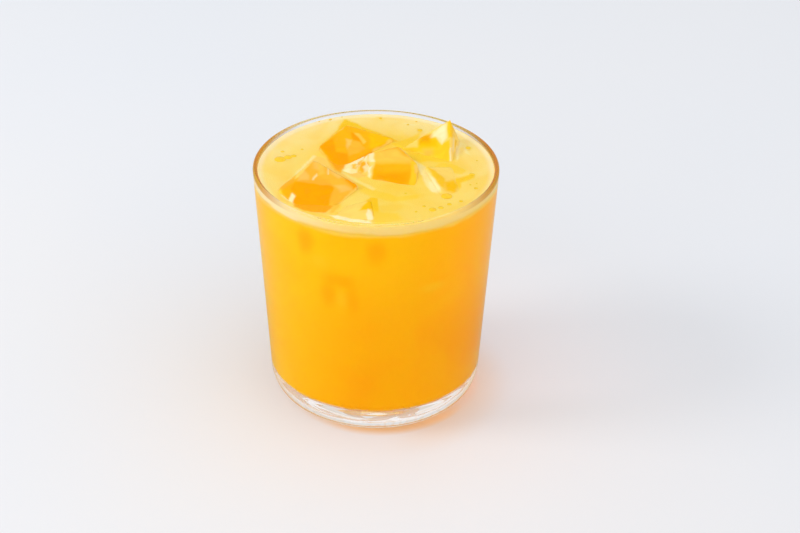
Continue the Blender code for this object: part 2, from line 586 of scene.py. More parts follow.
@dataclass(frozen=True)
class JuiceFinish(Finish):
    """Opaque orange juice: deeper low down, pale at the foam, painted glow behind the ice, painted light and
    shade.

    Each blot gives its place across, its height, its half width and its half height in
    millimetres.
    """

    name: str = "orange_juice"
    high: Colour = (1.0, 0.50, 0.002)
    low: Colour = (1.0, 0.385, 0.001)
    cloud: Colour = (1.0, 0.45, 0.001)
    shade: Colour = (1.0, 0.40, 0.0)
    light: Colour = (1.0, 0.56, 0.02)
    # Painted light on the left, where the lamp is, and painted shade on the right.
    left: Colour = (1.0, 0.575, 0.003)
    right: Colour = (1.0, 0.34, 0.0)
    pale: Colour = (1.0, 0.60, 0.10)
    well_top: Colour = (1.0, 0.50, 0.02)
    well_deep: Colour = (1.0, 0.42, 0.002)
    # Painted glow: over the juice, stronger high up and on the right, on its floor and in the wells behind
    # the ice.
    glow: Colour = (0.03, 0.005, 0.0)
    glow_high: Colour = (0.09, 0.03, 0.0)
    glow_right: Colour = (0.14, 0.06, 0.0)
    glow_top: Colour = (0.15, 0.06, 0.0)
    glow_deep: Colour = (0.40, 0.15, 0.0)
    # Painted light on the juice's floor, seen through the base.
    floor_painted_light: Colour = (0.99, 0.66, 0.38)
    floor_glow: Colour = (0.19, 0.12, 0.06)
    scatter: Colour = (1.0, 0.7, 0.2)
    # Blots of painted shade and of painted light on the front of the drink.
    shades: tuple[Blot, ...] = (
        (-23.0, 77.3, 3.2, 5.5), (0.5, 77.3, 3.8, 5.5), (-11.5, 64.5, 6.5, 3.0), (-15.5, 58.5, 2.6, 6.0),
        (-7.5, 57.0, 2.8, 6.5), (22.5, 63.4, 5.5, 1.6))
    lights: tuple[Blot, ...] = ((-18.5, 71.0, 3.0, 2.8), (-11.0, 56.5, 2.4, 3.6), (18.5, 60.5, 4.5, 1.9))
    shade_share: float = 0.9
    light_share: float = 0.35
    cloud_share: float = 0.5
    pattern: Mottle = Mottle(42.0, 260.0, 0.8)
    veins: Mottle = Mottle(110.0, 400.0, 1.5)
    vein_edge: Span = (0.62, 0.76)
    vein_mirror: Span = (1.0, 0.4)
    body_height: Span = (25.0, 83.9)
    left_reach: Span = (-36.0, 2.0)
    left_share: Span = (0.6, 0.0)
    right_reach: Span = (2.0, 34.0)
    right_share: Span = (0.0, 0.7)
    glow_reach: Span = (12.0, 34.0)
    foam_height: Span = (82.5, 84.8)
    foam_wander: float = 1.0 * MM
    well_depth: Span = (75.9, 83.9)
    well_wall: Span = (0.6, 1.2)
    above_floor: Span = (14.0, 16.0)
    floor_height: Span = (9.4, 9.9)
    mirror_height: Span = (12.5, 14.5)
    grain_depth: float = 0.05 * MM

    def material(self) -> bpy.types.Material:
        """Build the material."""
        material, draw, shader = self.start()
        self.settle(shader, Metallic=0.0, Roughness=0.35, IOR=DRINK_IOR, Specular_IOR_Level=0.1,
                    Subsurface_Weight=1.0, Subsurface_Scale=0.0008, Emission_Strength=1.0)
        shader.inputs["Subsurface Radius"].default_value = self.scatter
        patches, grain = draw.mottle(self.pattern)
        place = draw.group(place_group())
        across, height = place.outputs["X"], place.outputs["Height"]
        up = draw.grade(height, self.body_height)
        # Painted light on the left and painted shade on the right, then blots of painted shade and light.
        body = draw.layers(
            draw.blend(up, self.low, self.high),
            (draw.grade(across, self.left_reach, self.left_share), self.left),
            (draw.grade(across, self.right_reach, self.right_share), self.right),
            (draw.times(patches, self.cloud_share), self.cloud),
            *self.blots(draw, self.shades, self.shade, self.shade_share),
            *self.blots(draw, self.lights, self.light, self.light_share))
        level = draw.maths("ADD", height, draw.times(patches, self.foam_wander))
        well = draw.times(draw.grade(place.outputs["Wall"], self.well_wall),
                          draw.grade(height, self.above_floor))
        deep = draw.fade(height, self.well_depth)
        # The juice's floor, seen through the base, gets a paler painted light and a painted glow.
        floor = draw.fade(height, self.floor_height)
        colour = draw.layers(
            body, (draw.grade(level, self.foam_height), self.pale), (floor, self.floor_painted_light),
            (well, draw.blend(deep, self.well_top, self.well_deep)))
        # Painted glow of the juice, stronger high up, on the right, on its floor and in the wells.
        glow = draw.layers(
            draw.blend(up, self.glow, self.glow_high),
            (draw.times(up, draw.grade(across, self.glow_reach)), self.glow_right),
            (floor, self.floor_glow), (well, draw.blend(deep, self.glow_top, self.glow_deep)))
        draw.put(colour, shader.inputs["Base Color"])
        draw.put(glow, shader.inputs["Emission Color"])
        self.bump(draw, shader, grain, self.grain_depth)
        veins, _ = draw.mottle(self.veins)
        unveined = draw.ramp(veins, self.vein_edge, self.vein_mirror)
        self.mirror_at_glass(draw, shader, draw.times(draw.fade(height, self.mirror_height), unveined))
        return material

    @staticmethod
    def blots(draw: Sketch, blots: tuple[Blot, ...], tone: Colour,
              strength: float) -> list[tuple[bpy.types.NodeSocket, Colour]]:
        """Place soft blots of one tone.

        Args:
            draw: Helper of the material.
            blots: Their places and sizes.
            tone: Their colour.
            strength: Their cover in the middle.

        Returns:
            Each blot's mask and colour.
        """
        layers = []
        for blot in blots:
            sizes = zip(("Across", "Up", "HalfWidth", "HalfHeight"), blot)
            spot = draw.group(blot_group(), **{label: size * MM for label, size in sizes})
            layers.append((draw.times(spot.outputs["Mask"], strength), tone))
        return layers

    @staticmethod
    def mirror_at_glass(draw: Sketch, shader: bpy.types.Node, contact: bpy.types.NodeSocket) -> None:
        """Let light that meets the drink from inside the glass at a low angle turn back.

        Args:
            draw: Helper of the material.
            shader: The Principled shader.
            contact: 1 where the piece touches the glass and 0 elsewhere.
        """
        fresnel = draw.add("ShaderNodeFresnel", IOR=DRINK_IOR / GLASS_IOR)
        mirror = draw.add("ShaderNodeBsdfGlossy", Roughness=0.0)
        draw.put(WHITE, mirror.inputs["Color"])
        turned_back = draw.times(fresnel.outputs["Fac"], contact)
        draw.surface(turned_back, shader.outputs["BSDF"], mirror.outputs["BSDF"])


@dataclass(frozen=True)
class FoamFinish(Finish):
    """Pale yellow froth: deeper towards the middle and where it thins, grainy with bubbles, with painted
    highlight and glow.
    """

    name: str = "juice_foam"
    middle: Colour = (0.96, 0.585, 0.055)
    middle_pale: Colour = (0.97, 0.635, 0.10)
    wall: Colour = (0.97, 0.645, 0.17)
    wall_pale: Colour = (0.97, 0.70, 0.25)
    band: Colour = (1.0, 0.665, 0.225)
    # Painted highlight on the left of the side band.
    band_highlight_left: Colour = (1.0, 0.75, 0.42)
    wall_ring: Colour = (0.95, 0.77, 0.47)
    under: Colour = (1.0, 0.58, 0.06)
    # Painted glow deep in the wells beside the ice.
    glow_under: Colour = (0.10, 0.05, 0.0)
    scatter: Colour = (1.0, 0.8, 0.5)
    pattern: Mottle = Mottle(70.0, 2200.0, 0.7)
    wall_distance: Span = (1.0, 22.0)
    backward_reach: Span = (-40.0, 25.0)
    backward_share: Span = (0.15, 1.0)
    ring_width: Span = (0.4, 2.6)
    ring_share: Span = (0.85, 0.0)
    side_width: Span = (0.0, 0.3)
    left_reach: Span = (-36.0, -8.0)
    under_height: Span = (83.8, 85.6)
    under_wander: float = 0.8 * MM
    well_wall: Span = (0.6, 1.2)
    well_height: Span = (84.5, 86.5)
    roughness: Span = (0.3, 0.5)
    grain_depth: float = 0.06 * MM
    grain_share: float = 0.6

    def material(self) -> bpy.types.Material:
        """Build the material."""
        material, draw, shader = self.start()
        self.settle(shader, Metallic=0.0, IOR=WATER_IOR, Specular_IOR_Level=0.12, Subsurface_Weight=1.0,
                    Subsurface_Scale=0.0006, Emission_Strength=1.0)
        shader.inputs["Subsurface Radius"].default_value = self.scatter
        patches, grain = draw.mottle(self.pattern)
        place = draw.group(place_group())
        wall, height = place.outputs["Wall"], place.outputs["Height"]
        backward = draw.grade(place.outputs["Y"], self.backward_reach, self.backward_share)
        tone = draw.add("ShaderNodeAttribute", attribute_name=FILM_TONE)
        leftward = draw.fade(place.outputs["X"], self.left_reach)
        # The film tone lays on the clearings and their painted glints; the side band gets a painted highlight
        # on the left.
        froth = draw.layers(
            draw.blend(patches, self.middle, self.middle_pale),
            (draw.times(draw.fade(wall, self.wall_distance), backward),
             draw.blend(patches, self.wall, self.wall_pale)),
            (draw.times(draw.grade(wall, self.ring_width, self.ring_share), backward), self.wall_ring),
            (tone.outputs["Alpha"], tone.outputs["Color"]),
            (draw.fade(wall, self.side_width), draw.blend(leftward, self.band, self.band_highlight_left)))
        level = draw.maths("ADD", height, draw.times(patches, self.under_wander))
        draw.put(draw.blend(draw.grade(level, self.under_height), self.under, froth),
                 shader.inputs["Base Color"])
        # Painted glow deep in the wells beside the ice.
        sunk = draw.times(draw.grade(wall, self.well_wall), draw.fade(height, self.well_height))
        draw.put(draw.blend(sunk, BLACK, self.glow_under), shader.inputs["Emission Color"])
        draw.put(draw.ramp(grain, (0.0, 1.0), self.roughness), shader.inputs["Roughness"])
        self.bump(draw, shader, grain, self.grain_depth, self.grain_share)
        return material


@dataclass(frozen=True)
class IceFinish(Finish):
    """Clear wet ice with a gently waved, melted surface."""

    name: str = "wet_ice"
    colour: Colour = (1.0, 0.985, 0.95)
    passed_light: Colour = (1.0, 0.98, 0.94)
    pattern: Mottle = Mottle(120.0, 500.0, 0.5)
    roughness: Span = (0.01, 0.06)
    ior: float = 1.31
    wave_depth: float = 0.5 * MM
    wave_share: float = 0.5

    def material(self) -> bpy.types.Material:
        """Build the material."""
        material, draw, shader = self.start()
        self.settle(shader, IOR=self.ior, Metallic=0.0, Transmission_Weight=1.0, Specular_IOR_Level=0.5)
        patches, grain = draw.mottle(self.pattern)
        draw.put(draw.blend(patches, self.colour, WHITE), shader.inputs["Base Color"])
        draw.put(draw.ramp(grain, (0.0, 1.0), self.roughness), shader.inputs["Roughness"])
        self.bump(draw, shader, patches, self.wave_depth, self.wave_share)
        self.pass_light(draw, shader, self.passed_light)
        return material


@dataclass(frozen=True)
class FilmFinish(Finish):
    """Thin wet film on the ice with its own tones and cover: froth, the juice seen through it, and painted
    glints.
    """

    name: str = "film_on_ice"
    shade: Colour = (0.97, 0.93, 0.88)
    pattern: Mottle = Mottle(150.0, 1400.0, 1.2)
    roughness: Span = (0.12, 0.3)
    wave_depth: float = 0.05 * MM
    wave_share: float = 0.4

    def material(self) -> bpy.types.Material:
        """Build the material."""
        material, draw, shader = self.start()
        self.settle(shader, Metallic=0.0, IOR=WATER_IOR, Specular_IOR_Level=0.06)
        patches, _ = draw.mottle(self.pattern)
        tone = draw.add("ShaderNodeAttribute", attribute_name=FILM_TONE)
        product = draw.add("ShaderNodeMix", data_type="RGBA", blend_type="MULTIPLY")
        draw.put(1.0, product.inputs["Factor"])
        draw.put(tone.outputs["Color"], product.inputs[6])
        draw.put(draw.blend(patches, WHITE, self.shade), product.inputs[7])
        draw.put(product.outputs[2], shader.inputs["Base Color"])
        draw.put(tone.outputs["Alpha"], shader.inputs["Alpha"])
        draw.put(draw.ramp(patches, (0.0, 1.0), self.roughness), shader.inputs["Roughness"])
        self.bump(draw, shader, patches, self.wave_depth, self.wave_share)
        return material


@dataclass(frozen=True)
class BubbleFinish(Finish):
    """Glossy amber skin of a bubble, darker in the middle of the froth."""

    name: str = "bubble_skin"
    colour: Colour = (0.97, 0.60, 0.02)
    dark: Colour = (0.90, 0.53, 0.012)
    pattern: Mottle = Mottle(900.0, 3000.0, 0.5)
    roughness: Span = (0.08, 0.2)
    grain_depth: float = 0.03 * MM
    grain_share: float = 0.4

    def material(self) -> bpy.types.Material:
        """Build the material."""
        material, draw, shader = self.start()
        self.settle(shader, Metallic=0.0, IOR=WATER_IOR, Specular_IOR_Level=0.35)
        patches, grain = draw.mottle(self.pattern)
        draw.put(draw.blend(patches, self.colour, self.dark), shader.inputs["Base Color"])
        draw.put(draw.ramp(grain, (0.0, 1.0), self.roughness), shader.inputs["Roughness"])
        self.bump(draw, shader, grain, self.grain_depth, self.grain_share)
        return material


@dataclass(frozen=True)
class FloorFinish(Finish):
    """Plain pale studio floor, darker towards the back, with painted warm light round the glass's foot and in
    its shadow.
    """

    name: str = "pale_floor"
    colour: Colour = (0.762, 0.78, 0.82)
    warm: Colour = (0.785, 0.79, 0.815)
    far: Colour = (0.69, 0.717, 0.766)
    # Painted warm light that the drink throws round the glass's foot, and its painted glow.
    near: Colour = (0.80, 0.54, 0.30)
    near_glow: Colour = (0.24, 0.12, 0.06)
    # Painted light that lifts the shadow to the right of the glass, and a warmer painted glow at its foot.
    shade_glow: Colour = (0.075, 0.062, 0.07)
    foot_glow: Colour = (0.16, 0.03, 0.0)
    # Painted reflection tint: the floor as the glass reflects it.
    painted_reflection_tint: Colour = (0.52, 0.37, 0.11)
    pattern: Mottle = Mottle(3.0, 40.0, 0.0)
    far_reach: Span = (100.0, 900.0)
    wide_radius: Span = (33.0, 52.0)
    wide_reach: Span = (0.0, 28.0)
    wide_share: Span = (0.05, 0.5)
    ring_radius: Span = (31.5, 36.8)
    ring_shift: float = 0.08
    ring_reach: Span = (-26.0, -4.0)
    ring_share: Span = (0.45, 1.0)
    front_reach: Span = (-26.0, -8.0)
    front_share: Span = (1.0, 0.25)
    mirrored_radius: Span = (60.0, 130.0)
    mirrored_share: Span = (0.72, 0.52)
    shade_reach: Span = (8.0, 40.0)
    shade_radius: Span = (45.0, 130.0)
    shade_back: Span = (-24.0, -2.0)
    shade_share: Span = (0.2, 1.0)
    foot_radius: Span = (34.5, 39.0)

    def material(self) -> bpy.types.Material:
        """Build the material."""
        material, draw, shader = self.start()
        self.settle(shader, Metallic=0.0, Roughness=0.9, Specular_IOR_Level=0.0, Emission_Strength=1.0)
        patches, _ = draw.mottle(self.pattern)
        place = draw.group(place_group())
        across, back, radius = (place.outputs[label] for label in ("X", "Y", "Radius"))
        # Mask of the painted warm light that the drink throws round the foot.
        sideways = draw.grade(across, self.wide_reach, self.wide_share)
        wide = draw.times(draw.fade(radius, self.wide_radius), sideways)
        shifted = draw.maths("SUBTRACT", radius, draw.times(across, self.ring_shift))
        ring = draw.times(draw.fade(shifted, self.ring_radius),
                          draw.grade(across, self.ring_reach, self.ring_share))
        ring = draw.times(ring, draw.grade(back, self.front_reach, self.front_share))
        thrown = draw.maths("MAXIMUM", wide, ring)
        # Painted reflection tint for rays that the glass reflects.
        path = draw.add("ShaderNodeLightPath")
        mirrored = draw.times(path.outputs["Is Glossy Ray"], path.outputs["Is Reflection Ray"])
        dimmed = draw.times(mirrored, draw.grade(radius, self.mirrored_radius, self.mirrored_share))
        colour = draw.layers(
            draw.blend(patches, self.colour, self.warm), (draw.grade(back, self.far_reach), self.far),
            (thrown, self.near), (dimmed, self.painted_reflection_tint))
        # Painted glow that lifts the shadow on the right, warmer at the foot, and the warm glow round the
        # foot.
        in_shade = draw.times(draw.grade(across, self.shade_reach), draw.fade(radius, self.shade_radius))
        in_shade = draw.times(in_shade, draw.grade(back, self.shade_back, self.shade_share))
        lifted = draw.blend(draw.fade(radius, self.foot_radius), self.shade_glow, self.foot_glow)
        glow = draw.layers(BLACK, (in_shade, lifted),
                           (draw.times(draw.times(thrown, thrown), sideways), self.near_glow))
        draw.put(colour, shader.inputs["Base Color"])
        draw.put(glow, shader.inputs["Emission Color"])
        return material


@dataclass(frozen=True)
class Side:
    """A flat side of an ice block: bearing and lean in degrees, distance in millimetres."""

    bearing: float
    distance: float
    lean: float = -3.0


def bearing_vector(bearing: float, lean: float = 0.0) -> Vector:
    """Return the unit vector at a bearing, leaning up from the level by an angle."""
    turn = math.radians(bearing)
    rise = math.radians(lean)
    return Vector((math.cos(turn) * math.cos(rise), math.sin(turn) * math.cos(rise), math.sin(rise)))


@dataclass(frozen=True)
class IceBlock:
    """A block of ice, cut out of a blank and melted round at its edges.

    Lengths are millimetres and angles degrees, as in the part's own source: the top is at
    height `top` over the middle and rises by `slope` towards the bearing `rises`.
    """

    name: str
    x: float
    y: float
    top: float
    slope: float
    rises: float
    depth: float
    sides: tuple[Side, ...]
    surface: float = 87.0
    edge: float = 1.1
    edge_steps: int = 4
    blank: float = 90.0
    voxel: float = 0.4
    melt: float = 0.10
    melt_wave: float = 260.0
    melt_passes: int = 6
    smoothing: float = 0.5
    seed: int = 0
    seed_step: float = 7.3

    @property
    def middle(self) -> Vector:
        """Middle of the block at the drink's surface, in metres."""
        return Vector((self.x, self.y, self.surface)) * MM

    @staticmethod
    def cut_away(bm: bmesh.types.BMesh, point: Vector, normal: Vector) -> None:
        """Cut a closed shape by a plane and close the cut.

        Args:
            bm: The shape.
            point: A point on the plane.
            normal: The side of the plane that is dropped.
        """
        geometry = bm.verts[:] + bm.edges[:] + bm.faces[:]
        cut = bmesh.ops.bisect_plane(bm, geom=geometry, dist=TINY, plane_co=point, plane_no=normal,
                                     clear_outer=True)
        edges = [item for item in cut["geom_cut"] if isinstance(item, bmesh.types.BMEdge)]
        bmesh.ops.holes_fill(bm, edges=edges)

    def shape(self, clearance: float = 0.0) -> bmesh.types.BMesh:
        """Cut the block out of its blank.

        Args:
            clearance: How much larger it is all round, in metres; less than 0 is smaller.

        Returns:
            The closed shape with rounded edges.
        """
        bm = bmesh.new()
        bmesh.ops.create_cube(bm, size=self.blank * MM, matrix=Matrix.Translation(self.middle))
        for side in self.sides:
            outward = bearing_vector(side.bearing, side.lean)
            reach = bearing_vector(side.bearing) * (side.distance * MM)
            self.cut_away(bm, self.middle + reach + outward * clearance, outward)
        upward = bearing_vector(self.rises + 180, 90 - self.slope)
        top = Vector((self.x, self.y, self.top)) * MM
        self.cut_away(bm, top + upward * clearance, upward)
        self.cut_away(bm, top - upward * (self.depth * MM + clearance), -upward)
        bmesh.ops.bevel(bm, geom=bm.edges[:], offset=self.edge * MM, offset_type="OFFSET",
                        segments=self.edge_steps, profile=0.5, affect="EDGES", clamp_overlap=True,
                        material=-1)
        bmesh.ops.recalc_face_normals(bm, faces=bm.faces)
        return bm

    def height_at(self, x: float, y: float) -> float:
        """Height of the block's upper faces over a point, in metres."""
        rise = bearing_vector(self.rises)
        away = Vector((x - self.x * MM, y - self.y * MM, 0.0))
        height = self.top * MM + math.tan(math.radians(self.slope)) * away.dot(rise)
        for side in self.sides:
            if side.lean > 0:
                over = side.distance * MM - away.dot(bearing_vector(side.bearing))
                height = min(height, self.surface * MM + over / math.tan(math.radians(side.lean)))
        return height

    def outside_by(self, x: float, y: float) -> float:
        """Distance of a point outside the block's outline at the surface, in metres."""
        away = Vector((x - self.x * MM, y - self.y * MM, 0.0))
        return max(away.dot(bearing_vector(side.bearing)) - side.distance * MM for side in self.sides)

    def cutter(self, clearance: float) -> bpy.types.Object:
        """Return the block as a tool for cutting its place out of the drink."""
        return to_object("tool_" + self.name, self.shape(clearance))

    def build(self, finish: bpy.types.Material) -> bpy.types.Object:
        """Build the visible block.

        Args:
            finish: The ice's material.

        Returns:
            The finished piece.
        """
        item = to_object(self.name + "_clear", self.shape())
        remesh = item.modifiers.new("melt", "REMESH")
        remesh.mode = "VOXEL"
        remesh.voxel_size = self.voxel * MM
        remesh.use_smooth_shade = True
        apply_modifiers(item)
        bm = bmesh.new()
        bm.from_mesh(item.data)
        for _ in range(self.melt_passes):
            bmesh.ops.smooth_vert(bm, verts=bm.verts, factor=self.smoothing, use_axis_x=True,
                                  use_axis_y=True, use_axis_z=True)
        bm.normal_update()
        for vertex in bm.verts:
            place = vertex.co * self.melt_wave + Vector((self.seed * self.seed_step, 0.0, 0.0))
            vertex.co += vertex.normal * (noise.noise(place) * self.melt * MM)
        bm.to_mesh(item.data)
        bm.free()
        item.data.shade_smooth()
        return install(item, finish, Slot.ICE, self.name)


def ice_blocks() -> tuple[IceBlock, ...]:
    """Return the six blocks, each at its own place."""
    return (
        IceBlock("ice_front_left", -20.7, -18.2, 88.3, 10.5, 88, 18, (
            Side(142, 10.8), Side(49, 12.2), Side(-28, 11.4), Side(-114, 10.1), Side(-149, 10.2)), seed=1),
        IceBlock("ice_back_left", -8.8, 14.0, 88.6, 10.0, 111, 17, (
            Side(145, 8.6), Side(71, 10.9), Side(-41, 7.5), Side(-152, 10.6)), seed=2),
        IceBlock("ice_middle", 4.4, -2.1, 88.3, 10.3, 74, 16, (
            Side(154, 10.8), Side(108, 10.9), Side(33, 9.8), Side(-1, 9.9), Side(-109, 7.8),
            Side(-142, 8.8)), seed=3),
        IceBlock("ice_right", 22.5, -7.5, 87.6, 8.0, -175, 14, (
            Side(-164, 3.9), Side(16, 6.6), Side(-75, 10.5), Side(105, 8.5)), seed=4),
        IceBlock("ice_back_right", 19.5, 13.0, 89.1, 31.5, 59, 13, (
            Side(108, 5.6), Side(-119, 3.8), Side(-10.6, 8.0, 20.7), Side(18, 15.3), Side(42, 14.8)), seed=5),
        IceBlock("ice_front", -6.5, -30.3, 87.4, 3.4, 86, 13, (
            Side(8, 6.0), Side(-96, 5.7), Side(148, 4.9), Side(114, 4.8)), seed=6),
    )


class Tone(Enum):
    """Tones of the film on the ice and of the patches on the foam, from deep to pale."""

    DEEP = (1.0, 0.37, 0.0)
    ORANGE = (0.99, 0.46, 0.02)
    AMBER = (1.0, 0.465, 0.006)
    YELLOW_DEEP = (0.97, 0.535, 0.003)
    YELLOW = (0.98, 0.585, 0.02)
    APRICOT_DEEP = (0.98, 0.495, 0.035)
    PALE_ORANGE = (0.99, 0.58, 0.07)
    APRICOT = (0.99, 0.57, 0.11)
    FROTH = (0.97, 0.67, 0.14)
    # PALE and WHITE mostly serve as painted highlights and glints on the ice and its edges.
    PALE = (0.97, 0.75, 0.33)
    WHITE = (0.97, 0.82, 0.44)


@dataclass(frozen=True)
class Patch:
    """A facet, streak, painted glint or thin place, outlined in plan in millimetres.

    Its cover goes from 0 to 1, and fade is the half width of its soft edge in millimetres.
    """

    tone: Tone
    cover: float
    fade: float
    outline: tuple[Point, ...]

    def share(self, x: float, y: float) -> float:
        """How much of the patch lies over a point, from 0 to 1.

        Args:
            x: Place of the point in millimetres.
            y: Place of the point in millimetres.

        Returns:
            1 well inside the outline, 0 well outside, and a soft change between.
        """
        inside = False
        nearest = math.inf
        for (ax, ay), (bx, by) in zip(self.outline, self.outline[1:] + self.outline[:1]):
            if (ay > y) != (by > y) and x < (bx - ax) * (y - ay) / (by - ay) + ax:
                inside = not inside
            length = (bx - ax) ** 2 + (by - ay) ** 2
            along = min(max(((x - ax) * (bx - ax) + (y - ay) * (by - ay)) / length, 0.0), 1.0)
            nearest = min(nearest, math.hypot(x - ax - along * (bx - ax), y - ay - along * (by - ay)))
        return 1.0 - smooth_step(-self.fade, self.fade, -nearest if inside else nearest)


@dataclass(frozen=True)
class Patchwork:
    """Patches that lie one over the other. Their outlines wander by wobble millimetres."""

    patches: tuple[Patch, ...]
    wobble: float = 0.45
    wave: float = 330.0

    def paint(self, x: float, y: float, tone: Tone, cover: float) -> tuple[Vector, float]:
        """Work out the tone and the cover at a point.

        Args:
            x: Place of the point in metres.
            y: Place of the point in metres.
            tone: Tone below the patches.
            cover: Cover below the patches.

        Returns:
            The colour and its cover.
        """
        colour = Vector(tone.value)
        shift = noise.noise_vector(Vector((x, y, 0.0)) * self.wave) * self.wobble
        for patch in self.patches:
            share = patch.share(x / MM + shift.x, y / MM + shift.y)
            colour = colour.lerp(Vector(patch.tone.value), share)
            cover += (patch.cover - cover) * share
        return colour, cover


@dataclass(frozen=True)
class IceFilm:
    """The film that lies on one block: its own tone and cover, and the patches on it."""

    block: str
    tone: Tone
    cover: float
    patches: tuple[Patch, ...]
    lift: float = 0.05 * MM
    thickness: float = 0.03 * MM
    below: float = 0.5 * MM
    edge_width: float = 0.5 * MM
    edge_wander: float = 1.5 * MM
    edge_wave: float = 230.0
    edge_shift: float = 0.1
    wave_level: float = 0.01
    steepest: float = -0.3

    def paint(self, x: float, y: float, outside_by: float,
              surroundings: Patchwork) -> tuple[float, float, float, float]:
        """Work out the tone and the cover at a point.

        Args:
            x: Place of the point in metres.
            y: Place of the point in metres.
            outside_by: Distance outside the block's outline in metres.
            surroundings: Patches on the foam, which lap over the block's edge.

        Returns:
            Red, green, blue and the cover.
        """
        colour, cover = Patchwork(self.patches).paint(x, y, self.tone, self.cover)
        wave = noise.noise(Vector((x, y, self.wave_level)) * self.edge_wave)
        wander = max(wave + self.edge_shift, 0.0) * self.edge_wander
        edge = smooth_step(-self.edge_width - wander, 0.0, outside_by)
        outside, share = surroundings.paint(x, y, Tone.FROTH, 0.0)
        colour = colour.lerp(Vector(Tone.FROTH.value).lerp(outside, share), edge)
        return (*colour, cover + (1.0 - cover) * edge)

    def build(self, block: IceBlock, ice: bpy.types.Object, surroundings: Patchwork,
              finish: bpy.types.Material) -> None:
        """Build the film from the upper faces of the visible ice.

        Args:
            block: The ice block.
            ice: Its finished piece.
            surroundings: Patches on the foam round it.
            finish: The film's material.
        """
        bm = bmesh.new()
        bm.from_mesh(ice.data)
        lowest = block.surface * MM - self.below
        sunk = [face for face in bm.faces
                if face.calc_center_median().z < lowest or face.normal.z < self.steepest]
        bmesh.ops.delete(bm, geom=sunk, context="FACES")
        bm.normal_update()
        layer = bm.verts.layers.float_color.new(FILM_TONE)
        for vertex in bm.verts:
            outside_by = block.outside_by(vertex.co.x, vertex.co.y)
            vertex[layer] = self.paint(vertex.co.x, vertex.co.y, outside_by, surroundings)
        for vertex in bm.verts:
            vertex.co += vertex.normal * self.lift
        bmesh.ops.solidify(bm, geom=bm.faces[:], thickness=self.thickness)
        bmesh.ops.recalc_face_normals(bm, faces=bm.faces)
        install(to_object(self.block + "_film", bm), finish, Slot.ICE)


